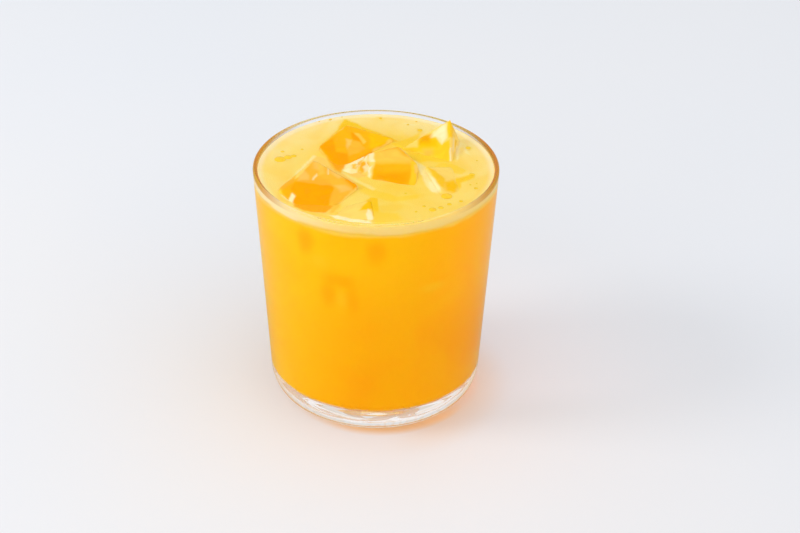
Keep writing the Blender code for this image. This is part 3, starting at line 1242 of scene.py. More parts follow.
def ice_films() -> tuple[IceFilm, ...]:
    """Return the films on the six blocks, with their facets, streaks and painted glints."""
    # The WHITE and PALE patches are painted highlights and glints on the blocks' facets and edges.
    return (
        IceFilm("ice_front_left", Tone.APRICOT_DEEP, 0.85, (
            Patch(Tone.APRICOT_DEEP, 0.90, 0.50, ((-20.9, 9.9), (-16.3, 7.0), (-13.7, -7.8), (-11.7, -9.4),
                (-15.4, -12.2), (-20.3, -12.1), (-26.5, -13.1), (-27.1, -11.0), (-24.0, -5.5))),
            Patch(Tone.APRICOT, 0.90, 1.30, ((-21.9, 7.4), (-18.8, 7.5), (-17.2, 2.6), (-18.4, -8.3),
                (-21.0, -6.7))),
            Patch(Tone.APRICOT, 0.90, 0.70, ((-26.1, -9.4), (-24.5, -7.1), (-22.6, -10.6), (-22.8, -12.9),
                (-26.0, -12.9))),
            Patch(Tone.FROTH, 0.95, 0.35, ((-21.4, 9.9), (-20.8, 6.9), (-23.5, -6.3), (-26.3, -11.4),
                (-27.5, -12.1), (-27.1, -9.4), (-24.0, -4.3))),
            Patch(Tone.PALE, 0.90, 0.30, ((-20.4, -9.4), (-20.0, -10.6), (-21.2, -13.3), (-21.8, -12.9))),
            Patch(Tone.AMBER, 0.90, 0.60, ((-32.5, -18.7), (-27.0, -12.9), (-26.7, -15.7), (-27.8, -19.5),
                (-29.2, -22.5))),
            Patch(Tone.PALE, 0.90, 0.22, ((-17.8, 6.7), (-17.3, 6.5), (-16.1, -9.9), (-16.5, -9.9))),
            Patch(Tone.PALE_ORANGE, 0.90, 0.80, ((-19.9, -3.7), (-18.2, -4.1), (-17.3, -9.2),
                (-19.5, -10.1))),
            Patch(Tone.APRICOT, 0.90, 0.90, ((-15.9, 2.3), (-13.1, -1.2), (-10.8, -10.9), (-12.9, -11.8),
                (-15.7, -9.2))),
            Patch(Tone.DEEP, 0.97, 0.35, ((-27.1, -13.3), (-19.3, -15.3), (-14.8, -15.8), (-14.0, -17.2),
                (-15.6, -24.8), (-16.0, -29.5), (-19.9, -30.8), (-23.8, -28.8), (-28.0, -25.2),
                (-27.3, -21.0), (-28.7, -17.2))),
            Patch(Tone.APRICOT_DEEP, 0.90, 0.50, ((-15.9, -12.1), (-10.4, -11.8), (-6.1, -15.9),
                (-5.4, -16.2), (-11.0, -21.4), (-14.1, -24.8), (-14.8, -30.0), (-16.1, -29.5),
                (-15.6, -24.0), (-14.0, -17.2), (-15.0, -15.6))),
            Patch(Tone.APRICOT, 0.90, 0.90, ((-13.8, -15.6), (-10.3, -15.6), (-7.8, -17.9),
                (-11.8, -19.1))),
            Patch(Tone.DEEP, 0.95, 0.35, ((-10.6, -12.9), (-9.2, -6.3), (-5.9, -14.5), (-5.9, -15.4),
                (-7.3, -17.2))),
            Patch(Tone.FROTH, 0.95, 0.60, ((-12.2, -24.8), (-10.2, -21.4), (-5.4, -16.7), (-4.4, -19.2),
                (-9.2, -26.9), (-12.8, -29.9))),
            Patch(Tone.WHITE, 0.97, 0.25, ((-28.2, -19.5), (-27.1, -21.4), (-28.0, -26.1), (-29.2, -23.3))),
        )),
        IceFilm("ice_back_left", Tone.AMBER, 0.92, (
            Patch(Tone.AMBER, 0.95, 0.70, ((-11.9, 37.3), (-9.0, 34.4), (-6.0, 23.8), (0.5, 22.7),
                (3.1, 20.5), (3.1, 15.6), (-3.6, 12.6), (-8.5, 16.7), (-11.1, 18.6), (-12.9, 20.9))),
            Patch(Tone.DEEP, 0.97, 0.50, ((-19.0, 14.4), (-14.9, 17.3), (-14.0, 9.9), (-9.9, 9.5),
                (-9.6, 4.6), (-12.0, -2.6), (-13.8, -2.1), (-16.2, 4.7), (-20.2, 12.0))),
            Patch(Tone.AMBER, 0.95, 0.90, ((-15.2, 16.9), (-12.4, 20.6), (-10.8, 18.6), (-10.6, 11.5),
                (-9.9, 9.0), (-13.2, 9.5))),
            Patch(Tone.DEEP, 0.95, 0.50, ((-8.8, 21.4), (-7.3, 21.1), (-4.4, 14.2), (-5.9, 15.7),
                (-8.5, 17.2))),
            Patch(Tone.APRICOT_DEEP, 0.95, 0.60, ((-8.5, 16.7), (-5.9, 16.1), (-3.8, 12.2), (-5.9, 9.9),
                (-9.4, 7.9), (-10.2, 11.1))),
            Patch(Tone.APRICOT, 0.95, 0.50, ((-10.8, 17.8), (-8.8, 17.1), (-9.2, 14.2), (-10.2, 11.5))),
            Patch(Tone.PALE_ORANGE, 0.95, 0.30, ((-7.8, 21.3), (-6.2, 21.2), (-3.7, 16.4), (-4.6, 15.0))),
            Patch(Tone.YELLOW_DEEP, 0.97, 0.90, ((-2.2, 29.9), (2.2, 27.3), (7.2, 20.4), (8.2, 20.9),
                (3.7, 16.4), (-2.2, 12.9))),
        )),
        IceFilm("ice_middle", Tone.AMBER, 0.90, (
            Patch(Tone.PALE_ORANGE, 0.95, 1.00, ((-1.2, 7.5), (7.1, 8.6), (9.0, 5.7), (12.6, 1.6),
                (12.4, -0.7), (-0.9, 0.1))),
            Patch(Tone.AMBER, 0.95, 2.60, ((-0.9, 0.9), (12.1, 0.1), (11.6, -9.0), (-0.6, -6.8))),
            Patch(Tone.DEEP, 0.97, 2.20, ((-0.3, -4.5), (11.3, -4.8), (11.3, -9.0), (9.9, -12.1),
                (7.5, -12.4), (3.7, -9.5), (-0.0, -7.0))),
            Patch(Tone.YELLOW, 0.95, 0.50, ((12.1, 0.9), (14.8, 2.1), (15.1, -13.5), (13.2, -14.0),
                (11.3, -12.6), (11.9, -5.3))),
            Patch(Tone.APRICOT, 0.95, 0.40, ((13.1, -0.3), (14.5, -1.6), (13.3, -5.4))),
            Patch(Tone.FROTH, 0.95, 0.40, ((-4.9, 12.6), (-1.5, 13.7), (-0.4, 4.9), (-0.8, -0.8),
                (-1.7, -7.9), (-3.7, -5.0), (-8.0, -3.7), (-11.8, -2.6), (-9.6, 6.0), (-7.1, 9.3))),
            Patch(Tone.PALE, 0.95, 0.50, ((-6.4, 9.3), (-3.0, 6.2), (-2.0, 2.1), (-5.5, 2.7))),
            Patch(Tone.WHITE, 0.97, 0.40, ((-9.6, 4.9), (-6.3, 7.1), (-5.5, -0.1), (-7.8, -1.5))),
            Patch(Tone.WHITE, 0.97, 0.35, ((-2.5, 7.4), (-0.8, 6.7), (-0.6, 1.6), (-2.0, 1.7))),
            Patch(Tone.ORANGE, 0.90, 0.35, ((-5.0, 1.5), (-2.6, 1.4), (-2.7, -2.7), (-7.5, -3.1),
                (-5.7, -2.1))),
            Patch(Tone.WHITE, 0.95, 0.30, ((-2.6, -1.5), (-1.7, -0.7), (-2.2, -6.7), (-3.0, -5.9))),
            Patch(Tone.WHITE, 0.97, 0.20, ((-6.0, 9.5), (-3.3, 12.8), (-0.9, 7.2), (-0.9, 6.3), (-3.2, 6.6),
                (-5.8, 8.3))),
            Patch(Tone.WHITE, 0.97, 0.20, ((-6.0, 6.2), (-3.3, 5.0), (-3.1, 4.3), (-5.7, 2.0))),
            Patch(Tone.WHITE, 0.97, 0.20, ((-3.3, 6.1), (-2.9, 6.0), (-3.1, 1.0), (-2.0, -5.2),
                (-2.5, -5.4), (-3.5, 0.8))),
            Patch(Tone.ORANGE, 0.90, 0.20, ((-5.5, 1.1), (-3.8, 1.7), (-3.7, 0.6), (-5.2, -0.2))),
            Patch(Tone.ORANGE, 0.90, 0.20, ((-5.7, -1.9), (-4.7, -1.2), (-4.2, -3.5), (-5.1, -4.0))),
            Patch(Tone.PALE, 0.90, 0.30, ((-4.6, -0.9), (-3.3, 0.4), (-2.6, -2.7), (-3.8, -3.7))),
        )),
        IceFilm("ice_right", Tone.FROTH, 0.97, (
            Patch(Tone.FROTH, 0.97, 0.60, ((13.4, 5.7), (16.6, 3.2), (19.1, -5.1), (21.5, -12.6),
                (21.9, -17.0), (19.3, -17.2), (17.0, -13.5), (15.2, -10.0), (14.8, -0.4))),
            Patch(Tone.PALE, 0.97, 0.50, ((14.6, 4.2), (17.2, -3.5), (20.9, -10.2), (21.7, -17.1),
                (19.3, -16.9), (17.0, -12.0), (16.2, -6.0))),
            Patch(Tone.WHITE, 0.97, 0.50, ((17.4, -5.2), (19.2, -8.1), (21.6, -14.6), (21.4, -17.9),
                (19.4, -15.4), (17.6, -10.0))),
            Patch(Tone.YELLOW, 0.95, 0.50, ((17.0, 0.1), (19.6, -2.3), (23.3, -8.0), (23.2, -15.2),
                (22.0, -14.0))),
            Patch(Tone.YELLOW_DEEP, 0.97, 1.10, ((23.0, -10.1), (26.7, -8.1), (28.3, -11.8), (26.9, -16.7),
                (23.6, -16.5))),
        )),
        IceFilm("ice_back_right", Tone.FROTH, 0.97, (
            Patch(Tone.YELLOW, 0.97, 0.50, ((17.0, 17.5), (21.1, 15.5), (22.3, 13.0), (23.0, 12.3),
                (25.5, 13.7), (25.9, 12.0), (25.6, 5.9), (22.2, 5.6), (16.3, 4.5), (12.5, 9.9), (8.1, 12.9),
                (8.1, 15.6), (14.5, 13.8), (15.0, 16.0))),
            Patch(Tone.YELLOW_DEEP, 0.95, 1.20, ((14.8, 16.6), (17.2, 16.6), (21.3, 14.9), (21.3, 12.3),
                (15.5, 13.5))),
            Patch(Tone.PALE_ORANGE, 0.90, 1.20, ((16.4, 12.7), (19.8, 11.7), (19.8, 9.6), (16.9, 9.9))),
            Patch(Tone.PALE, 0.97, 0.35, ((25.0, 36.6), (24.9, 19.7), (24.6, 14.5), (23.0, 12.3),
                (21.9, 13.7), (21.1, 16.0), (18.9, 15.9), (18.2, 16.6), (19.9, 18.0))),
            Patch(Tone.WHITE, 0.97, 0.40, ((23.8, 19.7), (24.3, 18.8), (24.1, 14.9), (23.0, 13.1),
                (22.6, 15.1), (19.9, 16.7), (21.4, 18.1))),
            Patch(Tone.YELLOW, 1.00, 0.30, ((25.4, 38.3), (27.7, 38.0), (27.8, 33.1), (26.5, 15.2),
                (25.0, 14.3), (24.7, 18.1))),
            Patch(Tone.FROTH, 1.00, 0.30, ((25.9, 14.1), (27.6, 18.0), (27.7, 4.3), (25.8, 4.3))),
            Patch(Tone.PALE, 0.90, 0.25, ((26.7, 16.1), (27.2, 17.3), (27.1, 6.4), (26.4, 6.3))),
            Patch(Tone.YELLOW, 0.80, 0.25, ((27.5, 17.7), (27.9, 18.3), (28.1, 6.4), (27.4, 5.8))),
            Patch(Tone.WHITE, 0.80, 0.22, ((25.8, 10.5), (26.3, 10.9), (26.2, 5.8), (25.7, 5.9))),
            Patch(Tone.PALE, 0.80, 0.22, ((28.1, 18.6), (28.6, 19.3), (28.9, 12.3), (28.3, 11.1))),
            Patch(Tone.YELLOW_DEEP, 0.50, 1.40, ((15.6, 18.0), (18.9, 17.5), (18.4, 15.0), (15.6, 15.3))),
        )),
        IceFilm("ice_front", Tone.FROTH, 0.97, (
            Patch(Tone.YELLOW_DEEP, 0.97, 0.50, ((-1.1, -20.0), (0.5, -21.7), (1.7, -30.8), (1.1, -37.2),
                (0.0, -36.9), (-1.3, -29.3), (-5.5, -30.5), (-3.1, -25.7))),
            Patch(Tone.WHITE, 0.97, 0.35, ((-2.4, -29.3), (-1.0, -31.6), (-0.5, -37.5), (-2.8, -36.7),
                (-3.3, -32.1))),
            Patch(Tone.WHITE, 0.97, 0.35, ((-16.4, -32.7), (-14.0, -32.8), (-9.1, -35.0), (-3.0, -36.1),
                (-0.7, -37.5), (-6.6, -38.8), (-14.9, -36.4))),
        )),
    )


def foam_clearings_and_glints() -> Patchwork:
    """Return the places where the foam is thin, torn open or pushed up beside the ice, and painted glints
    there.
    """
    # Its WHITE and PALE patches are mostly painted highlights and glints along the edges of the ice.
    return Patchwork((
        Patch(Tone.YELLOW, 0.55, 1.00, ((-10.9, -4.8), (-6.5, -8.2), (0.1, -14.9), (7.6, -19.3),
            (15.2, -18.0), (14.6, -21.4), (5.4, -23.7), (-3.1, -19.4), (-8.6, -12.7))),
        Patch(Tone.APRICOT, 0.90, 0.50, ((-21.9, 9.7), (-19.9, 8.8), (-17.7, 7.0), (-15.4, 2.7),
            (-11.7, -1.9), (-8.7, -6.5), (-5.6, -13.3), (-6.4, -16.6), (-10.8, -8.2), (-18.6, -0.3),
            (-21.5, 4.9), (-24.1, 0.8), (-25.2, -1.5), (-22.9, 6.1))),
        Patch(Tone.PALE, 0.75, 0.25, ((-21.5, 10.0), (-20.9, 8.8), (-25.2, -0.6), (-30.0, -11.9),
            (-32.5, -17.0), (-33.1, -16.2), (-28.8, -6.2), (-25.3, 2.5))),
        Patch(Tone.YELLOW_DEEP, 0.95, 0.50, ((-11.5, 37.5), (-9.2, 36.1), (-4.0, 31.1), (5.6, 22.9),
            (8.4, 20.0), (4.5, 19.2), (-3.4, 24.4), (-10.6, 31.0), (-13.1, 27.9), (-16.3, 22.4),
            (-19.8, 15.1), (-20.1, 16.2), (-14.7, 27.3), (-13.1, 32.3))),
        Patch(Tone.ORANGE, 0.95, 0.50, ((-20.2, 13.8), (-19.3, 15.1), (-16.0, 6.8), (-12.6, 2.7),
            (-8.8, 5.1), (-6.1, 9.9), (-6.6, 7.5), (-8.8, 3.9), (-11.0, 0.4), (-11.7, -3.1), (-14.2, -1.4),
            (-16.0, 3.3), (-18.3, 9.7))),
        Patch(Tone.DEEP, 0.97, 0.35, ((-16.0, 6.5), (-11.8, 3.3), (-8.8, 5.7), (-10.0, 3.3), (-11.4, -0.2),
            (-11.7, -3.4), (-13.4, -1.4))),
        Patch(Tone.YELLOW, 0.80, 0.80, ((4.5, 18.4), (7.8, 20.2), (11.2, 23.0), (15.8, 27.7), (15.8, 24.6),
            (11.2, 15.5), (16.7, 10.8), (26.0, 7.3), (25.7, 4.7), (17.7, 5.4), (13.3, 3.6), (9.5, 13.0))),
        Patch(Tone.APRICOT, 0.90, 0.40, ((-11.7, -1.7), (-9.4, 5.1), (-6.7, 9.9), (-3.3, 12.6),
            (-0.8, 12.0), (-1.1, 3.4), (-2.1, -5.3), (-6.5, -7.0), (-9.2, -4.5))),
        Patch(Tone.PALE, 0.95, 0.25, ((-11.6, -1.7), (-9.6, 3.9), (-6.6, 9.0), (-5.3, 9.3), (-6.6, 5.1),
            (-8.2, 1.0), (-6.5, -3.0), (-8.7, -3.8))),
        Patch(Tone.WHITE, 0.95, 0.20, ((-9.1, 3.1), (-6.1, 7.8), (-3.9, 9.9), (-4.3, 6.3), (-6.6, 3.6))),
        Patch(Tone.WHITE, 0.95, 0.20, ((-11.1, -1.6), (-9.3, 0.4), (-8.1, -2.2), (-9.3, -3.2))),
        Patch(Tone.ORANGE, 0.85, 0.25, ((-7.4, -0.1), (-6.3, 3.4), (-5.4, 3.6), (-5.7, -1.3),
            (-6.5, -2.4))),
        Patch(Tone.WHITE, 0.95, 0.20, ((-8.8, 4.2), (-6.0, 8.6), (-6.0, 7.6), (-8.6, 3.1))),
        Patch(Tone.WHITE, 0.95, 0.20, ((-6.4, 4.3), (-6.0, 4.3), (-6.4, -3.0), (-6.9, -3.0))),
        Patch(Tone.ORANGE, 0.85, 0.20, ((-8.1, 2.9), (-7.1, 3.8), (-7.4, 0.1), (-8.3, -0.1))),
        Patch(Tone.PALE, 0.90, 0.25, ((-9.0, -1.3), (-7.0, -0.1), (-6.5, -2.0), (-8.4, -3.4))),
        Patch(Tone.PALE, 0.45, 0.50, ((-11.6, -2.5), (-9.2, -4.8), (-5.4, -8.7), (0.1, -14.3),
            (-1.0, -15.5), (-6.5, -9.9), (-10.3, -5.4))),
        Patch(Tone.PALE, 0.75, 0.30, ((27.6, 15.7), (29.7, 21.1), (30.4, 19.3), (28.7, 7.4), (27.7, 5.2))),
        Patch(Tone.PALE, 0.70, 0.30, ((30.3, 19.9), (31.2, 18.7), (32.8, 11.6), (33.2, 9.5), (31.1, 11.9))),
        Patch(Tone.YELLOW, 0.70, 0.30, ((31.4, 16.9), (32.7, 17.9), (33.6, 15.2), (32.3, 13.6))),
        Patch(Tone.YELLOW, 0.60, 0.60, ((21.5, 4.3), (26.5, 4.4), (31.3, -0.8), (29.6, -4.3), (24.1, -2.0),
            (19.8, 1.4))),
        Patch(Tone.PALE, 0.70, 0.60, ((11.3, 5.4), (13.8, 6.2), (17.3, 0.8), (20.5, -7.3), (22.1, -16.3),
            (20.5, -17.8), (18.1, -16.3), (16.3, -10.7), (15.6, -4.5), (13.8, 1.3))),
        Patch(Tone.WHITE, 0.60, 0.35, ((13.3, 4.2), (15.4, 1.9), (16.5, -5.4), (15.3, -4.5))),
        Patch(Tone.WHITE, 0.70, 0.40, ((17.7, -10.1), (20.7, -8.7), (21.8, -16.0), (18.8, -16.9))),
        Patch(Tone.YELLOW_DEEP, 0.90, 0.80, ((22.3, -10.3), (26.2, -7.2), (31.2, -4.3), (34.4, -2.8),
            (34.0, -5.9), (29.4, -10.0), (28.4, -15.9), (24.3, -17.4), (22.1, -15.2))),
        Patch(Tone.YELLOW_DEEP, 0.95, 0.35, ((-5.5, -29.5), (-2.1, -20.3), (0.7, -21.3), (1.7, -34.6),
            (-0.3, -34.9), (-1.2, -29.8), (-2.3, -29.5))),
        Patch(Tone.WHITE, 0.90, 0.30, ((-17.4, -30.8), (-15.2, -32.5), (-10.4, -33.9), (-3.0, -36.0),
            (-0.5, -37.0), (-0.6, -38.4), (-8.3, -37.4), (-13.6, -35.0))),
        Patch(Tone.WHITE, 0.90, 0.25, ((-2.8, -29.3), (-1.6, -29.3), (-0.5, -34.1), (-0.6, -37.9),
            (-2.2, -37.4))),
        Patch(Tone.YELLOW, 0.60, 1.30, ((-0.7, -30.3), (7.5, -30.8), (9.6, -36.1), (0.1, -39.5),
            (-1.2, -36.8))),
        Patch(Tone.FROTH, 0.70, 0.60, ((-11.4, -23.9), (-6.4, -17.2), (-2.1, -19.4), (-5.7, -29.3),
            (-10.5, -32.6), (-12.6, -30.5))),
        Patch(Tone.DEEP, 0.97, 0.35, ((-27.7, -24.1), (-14.1, -24.0), (-14.5, -28.3), (-16.8, -31.1),
            (-19.5, -31.1), (-24.3, -30.1), (-27.4, -27.2))),
        Patch(Tone.APRICOT_DEEP, 0.85, 0.50, ((-14.4, -21.8), (-11.3, -22.3), (-12.0, -27.2),
            (-13.8, -31.3), (-15.8, -31.3), (-14.5, -28.3))),
        Patch(Tone.YELLOW, 0.85, 0.50, ((-32.8, -17.0), (-28.9, -13.0), (-28.3, -15.2), (-27.8, -19.7),
            (-29.9, -21.1), (-32.4, -18.9))),
        Patch(Tone.PALE, 0.80, 0.25, ((-32.1, -19.5), (-29.9, -21.2), (-27.4, -24.1), (-27.6, -25.4),
            (-30.4, -22.7))),
        Patch(Tone.YELLOW, 0.60, 0.30, ((14.0, 31.1), (16.4, 30.2), (17.0, 27.7), (14.6, 26.2))),
        Patch(Tone.YELLOW, 0.50, 0.25, ((-0.4, 38.9), (1.6, 39.7), (2.6, 36.0), (1.6, 36.2), (1.1, 38.2))),
        Patch(Tone.PALE, 0.60, 0.30, ((9.1, 35.1), (13.6, 33.9), (17.0, 33.9), (13.6, 32.6), (9.6, 33.6))),
    ))


@dataclass(frozen=True)
class Tumbler:
    """The clear tumbler, turned about its axis. Lengths are metres."""

    height: float = 88.5 * MM
    rim_radius: float = 42.5 * MM
    rim_wall: float = 1.7 * MM
    turn_radius: float = 37.4 * MM
    turn_height: float = 11.0 * MM
    foot_radius: float = 28.8 * MM
    foot_ring: float = 3.6 * MM
    punt_slope: float = 3.0 * MM
    punt_height: float = 1.3 * MM
    floor_height: float = 9.5 * MM
    low_wall: float = 2.0 * MM
    inner_corner: float = 4.0 * MM
    hold: float = 0.3 * MM
    segments: int = 288
    lip_steps: int = 16
    turn_steps: int = 20
    corner_steps: int = 12

    def outer_radius(self, height: float) -> float:
        """Radius of the outer wall at a height on its straight stretch."""
        share = (height - self.turn_height) / (self.height - self.turn_height)
        return self.turn_radius + (self.rim_radius - self.turn_radius) * share

    def inner_radius(self, height: float) -> float:
        """Radius of the inner wall at a height."""
        share = (height - self.turn_height) / (self.height - self.turn_height)
        return self.outer_radius(height) - self.low_wall - (self.rim_wall - self.low_wall) * share

    def bowl_profile(self, clearance: float) -> list[Point]:
        """Outline of the inside from the middle of the floor to the end of its corner.

        Args:
            clearance: Distance inside the glass; less than 0 reaches into the wall.

        Returns:
            Points as (radius, height).
        """
        floor = self.floor_height + clearance
        corner = self.inner_corner - clearance
        corner_top = floor + corner
        middle = (self.inner_radius(corner_top) - clearance - corner, corner_top)
        flat = [(0.0, floor), (middle[0] - self.hold, floor)]
        return flat + arc(middle, (corner, corner), -90, 0, self.corner_steps)

    def profile(self) -> list[Point]:
        """Outline of the whole tumbler: underside, outer wall, lip, inner wall and floor."""
        ring_inside = self.foot_radius - self.foot_ring
        lip = self.rim_wall / 2
        lip_middle = (self.outer_radius(self.height - lip) - lip, self.height - lip)
        turn_middle = (self.foot_radius, self.turn_height)
        turn_radii = (self.turn_radius - self.foot_radius, self.turn_height)
        slope_start = (ring_inside - self.punt_slope, self.punt_height)
        slope_share = self.hold / self.punt_slope
        underside = [(0.0, self.punt_height), (slope_start[0] - self.hold, self.punt_height), slope_start,
                     (slope_start[0] + self.hold, self.punt_height * (1 - slope_share)),
                     (ring_inside - self.hold, self.punt_height * slope_share), (ring_inside, 0.0),
                     (ring_inside + self.hold, 0.0), (self.foot_radius - self.hold, 0.0)]
        turn = arc(turn_middle, turn_radii, -90, 0, self.turn_steps)
        rounded_lip = arc(lip_middle, (lip, lip), 0, 180, self.lip_steps)
        return underside + turn + rounded_lip + self.bowl_profile(0.0)[::-1]

    def build(self, finish: bpy.types.Material) -> bpy.types.Object:
        """Build the visible tumbler.

        Args:
            finish: The glass material.

        Returns:
            The finished piece.
        """
        item = to_object("tumbler", turned(self.profile(), self.segments))
        return install(item, finish, Slot.GLASS, "glass")


@dataclass(frozen=True)
class Drink:
    """The juice and the foam on it, both cut round the ice. Lengths are metres."""

    tumbler: Tumbler
    blocks: tuple[IceBlock, ...]
    clearings_and_glints: Patchwork
    surface: float = 86.9 * MM
    foam_bottom: float = 83.9 * MM
    into_wall: float = 0.15 * MM
    into_ice: float = -0.25 * MM
    layer_overlap: float = 0.1 * MM
    wall_rise: float = 0.3 * MM
    wall_reach: float = 1.1 * MM
    ice_rise: float = 0.3 * MM
    ice_reach: float = 2.0 * MM
    swell: float = 0.12 * MM
    swell_wave: float = 90.0
    rings: int = 72

    def surface_height(self, x: float, y: float) -> float:
        """Height of the foam's surface over a point.

        Args:
            x: Place of the point.
            y: Place of the point.

        Returns:
            The height: level, with a rise at the wall and the ice and foam that clings.
        """
        radius = math.hypot(x, y)
        wall = self.tumbler.inner_radius(self.surface)
        height = self.surface + self.wall_rise * math.exp(-(wall - radius) / self.wall_reach)
        height += self.swell * noise.noise(Vector((x, y, 0.0)) * self.swell_wave)
        for block in self.blocks:
            away = max(block.outside_by(x, y), 0.0)
            proud = min(max((block.height_at(x, y) - self.surface) / MM, 0.0), 1.0)
            height += self.ice_rise * proud * math.exp(-away / self.ice_reach)
        return height

    def build_foam(self, finish: bpy.types.Material, cutters: list[bpy.types.Object]) -> bpy.types.Object:
        """Build the visible foam.

        Args:
            finish: The foam's material.
            cutters: The ice blocks as tools.

        Returns:
            The finished piece.
        """
        wall = self.tumbler.inner_radius(self.surface) + self.into_wall
        bottom = self.foam_bottom - self.layer_overlap
        low_wall = self.tumbler.inner_radius(bottom) + self.into_wall
        rings = [(wall * (1 - step / self.rings), self.surface) for step in range(self.rings + 1)]
        bm = turned([(0.0, bottom), (low_wall, bottom)] + rings, self.tumbler.segments)
        for vertex in bm.verts:
            if vertex.co.z > self.surface - TINY:
                vertex.co.z = self.surface_height(vertex.co.x, vertex.co.y)
        item = cut_out(to_object("foam_layer", bm), cutters)
        tones = item.data.color_attributes.new(FILM_TONE, "FLOAT_COLOR", "POINT")
        for vertex, tone in zip(item.data.vertices, tones.data):
            if vertex.co.z > self.surface - self.layer_overlap:
                colour, cover = self.clearings_and_glints.paint(vertex.co.x, vertex.co.y, Tone.FROTH, 0.0)
                tone.color = (*colour, cover)
            else:
                tone.color = (*Tone.FROTH.value, 0.0)
        return install(item, finish, Slot.FOAM, "foam")

    def build_juice(self, finish: bpy.types.Material, cutters: list[bpy.types.Object]) -> bpy.types.Object:
        """Build the visible juice.

        Args:
            finish: The juice's material.
            cutters: The ice blocks as tools.

        Returns:
            The finished piece.
        """
        top = self.foam_bottom + self.layer_overlap
        profile = self.tumbler.bowl_profile(-self.into_wall)
        profile += [(self.tumbler.inner_radius(top) + self.into_wall, top), (0.0, top)]
        item = cut_out(to_object("juice_body", turned(profile, self.tumbler.segments)), cutters)
        return install(item, finish, Slot.JUICE, "juice")

    def build(self, juice: bpy.types.Material, foam: bpy.types.Material) -> None:
        """Build both layers.

        Args:
            juice: Material of the juice.
            foam: Material of the foam.
        """
        cutters = [block.cutter(self.into_ice) for block in self.blocks]
        self.build_juice(juice, cutters)
        self.build_foam(foam, cutters)
        for cutter in cutters:
            bpy.data.objects.remove(cutter, do_unlink=True)


@dataclass(frozen=True)
class Bubbles:
    """Amber bubbles on the foam, each given by its place and radius in millimetres."""

    drink: Drink
    spots: tuple[tuple[float, float, float], ...] = (
        (23.8, -19.3, 2.0), (28.6, -22.7, 0.8), (21.7, -27.3, 1.0), (18.9, -28.6, 1.35),
        (16.1, -26.4, 0.7), (13.4, -30.1, 0.6), (24.6, -24.9, 0.9), (10.0, -17.5, 0.5),
        (32.9, -3.8, 1.1), (33.9, -13.5, 0.8), (32.1, -11.1, 0.45), (34.3, -10.0, 0.4),
        (34.9, 6.5, 0.45), (23.5, -1.6, 0.8), (32.2, 15.9, 1.0), (14.3, 35.9, 0.5), (15.5, 29.1, 1.0),
        (11.3, 33.4, 0.6), (-25.9, 13.9, 0.6), (-32.7, 12.2, 0.8), (-33.3, 6.5, 2.1),
        (-30.6, 8.1, 1.5), (-28.7, 9.0, 1.1), (-20.5, 35.1, 0.4), (-16.6, 36.7, 0.65),
        (-10.4, 35.8, 0.4), (-12.4, 38.7, 0.4), (1.5, 38.3, 0.6),
    )
    flatness: float = 0.16
    sink: float = 0.04 * MM
    steps: int = 14

    def build(self, finish: bpy.types.Material) -> bpy.types.Object:
        """Build all bubbles as one piece.

        Args:
            finish: The bubbles' material.

        Returns:
            The finished piece.
        """
        bm = bmesh.new()
        for x, y, radius in self.spots:
            height = self.drink.surface_height(x * MM, y * MM) - self.sink
            place = Matrix.Translation((x * MM, y * MM, height))
            shape = Matrix.Diagonal((radius * MM, radius * MM, radius * MM * self.flatness, 1.0))
            bmesh.ops.create_uvsphere(bm, u_segments=self.steps, v_segments=self.steps // 2, radius=1.0,
                                      matrix=place @ shape)
        return install(to_object("foam_bubbles", bm), finish, Slot.FOAM)


@dataclass(frozen=True)
class PhotoCamera:
    """The camera at the photograph's viewing angle. Its picture is 800 by 533 pixels."""

    picture: Point = (800.0, 533.0)
    axis_pixel: Point = (375.42, 275.66)
    focal_pixels: float = 2259.2
    target_height: float = 44.0 * MM
    distance: float = 0.8
    elevation: float = 30.9
    roll: float = 0.35
    sensor: float = 36.0
    nearest: float = 0.01

    def build(self) -> None:
        """Place the camera and make it the scene's."""
        data = bpy.data.cameras.new("photo_camera")
        data.sensor_fit = "HORIZONTAL"
        data.sensor_width = self.sensor
        data.lens = self.focal_pixels / self.picture[0] * self.sensor
        data.shift_x = (self.picture[0] / 2 - self.axis_pixel[0]) / self.picture[0]
        data.shift_y = (self.axis_pixel[1] - self.picture[1] / 2) / self.picture[0]
        data.clip_start = self.nearest
        rise = math.radians(self.elevation)
        place = Vector((0.0, -math.cos(rise), math.sin(rise))) * self.distance
        place.z += self.target_height
        camera = bpy.data.objects.new("photo_camera", data)
        camera.matrix_world = (Matrix.Translation(place) @ Matrix.Rotation(math.pi / 2 - rise, 4, "X")
                               @ Matrix.Rotation(math.radians(self.roll), 4, "Z"))
        bpy.context.scene.collection.objects.link(camera)
        bpy.context.scene.camera = camera


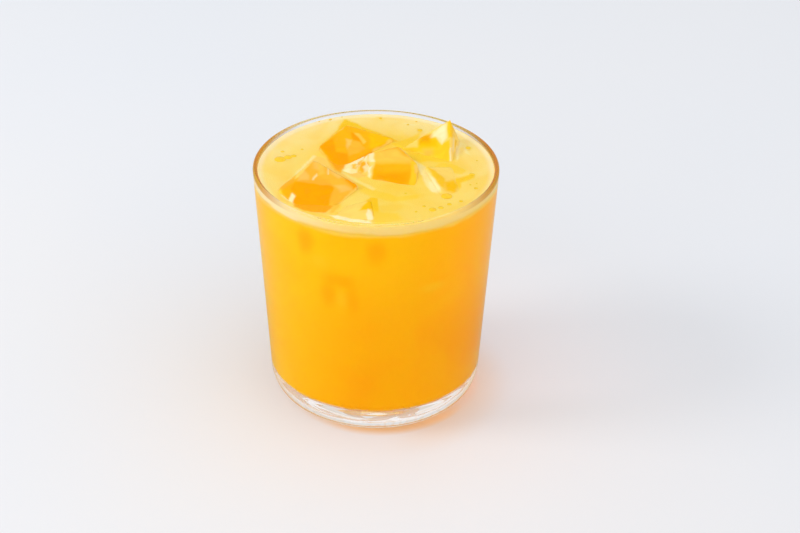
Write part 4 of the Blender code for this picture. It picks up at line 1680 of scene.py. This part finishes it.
@dataclass(frozen=True)
class Studio:
    """A pale floor, a white surround that is brighter towards the front and one large soft light from the
    left.
    """

    floor_size: float = 4.0
    floor_steps: int = 8
    surround_colour: Colour = (0.98, 0.99, 1.0)
    surround_reach: Span = (-0.9, 0.9)
    surround_strength: Span = (1.35, 0.65)
    light_colour: Colour = (1.0, 0.98, 0.95)
    light_bearing: float = 190.0
    light_elevation: float = 38.0
    light_distance: float = 1.2
    light_size: float = 0.45
    light_watts: float = 3.0

    def build_floor(self, finish: bpy.types.Material) -> None:
        """Lay the floor at the glass's foot.

        Args:
            finish: The floor's material.
        """
        bm = bmesh.new()
        bmesh.ops.create_grid(bm, x_segments=self.floor_steps, y_segments=self.floor_steps,
                              size=self.floor_size / 2)
        item = to_object("studio_floor", bm)
        item.data.materials.append(finish)

    def build_light(self) -> None:
        """Hang the soft light and light the surround."""
        world = bpy.data.worlds.new("surround")
        world.use_nodes = True
        draw = Sketch(world.node_tree)
        background = world.node_tree.nodes["Background"]
        draw.put(self.surround_colour, background.inputs["Color"])
        facing = draw.add("ShaderNodeTexCoord")
        split = draw.add("ShaderNodeSeparateXYZ")
        draw.put(facing.outputs["Generated"], split.inputs["Vector"])
        strength = draw.ramp(split.outputs["Y"], self.surround_reach, self.surround_strength)
        draw.put(strength, background.inputs["Strength"])
        bpy.context.scene.world = world
        data = bpy.data.lights.new("soft_light", "AREA")
        data.shape = "DISK"
        data.size = self.light_size
        data.energy = self.light_watts
        data.color = self.light_colour
        lamp = bpy.data.objects.new("soft_light", data)
        direction = bearing_vector(self.light_bearing, self.light_elevation)
        lamp.matrix_world = (Matrix.Translation(direction * self.light_distance)
                             @ direction.to_track_quat("Z", "Y").to_matrix().to_4x4())
        lamp.visible_transmission = False
        bpy.context.scene.collection.objects.link(lamp)

    def build(self, finish: bpy.types.Material) -> None:
        """Set up the floor, the lights and the picture's plain colour handling.

        Args:
            finish: The floor's material.
        """
        self.build_floor(finish)
        self.build_light()
        bpy.context.scene.view_settings.view_transform = "Standard"
        bpy.context.scene.view_settings.look = "None"


def main() -> None:
    """Build the glass of juice and its studio."""
    logging.basicConfig(level=logging.INFO, format="%(message)s")
    noise.seed_set(NOISE_SEED)
    PhotoCamera().build()
    Studio().build(FloorFinish().material())
    tumbler = Tumbler()
    tumbler.build(GlassFinish().material())
    blocks = ice_blocks()
    ice = IceFinish().material()
    pieces = {block.name: block.build(ice) for block in blocks}
    by_name = {block.name: block for block in blocks}
    film = FilmFinish().material()
    clearings_and_glints = foam_clearings_and_glints()
    for ice_film in ice_films():
        ice_film.build(by_name[ice_film.block], pieces[ice_film.block], clearings_and_glints, film)
    drink = Drink(tumbler, blocks, clearings_and_glints)
    drink.build(JuiceFinish().material(), FoamFinish().material())
    Bubbles(drink).build(BubbleFinish().material())


if __name__ == "__main__":
    main()
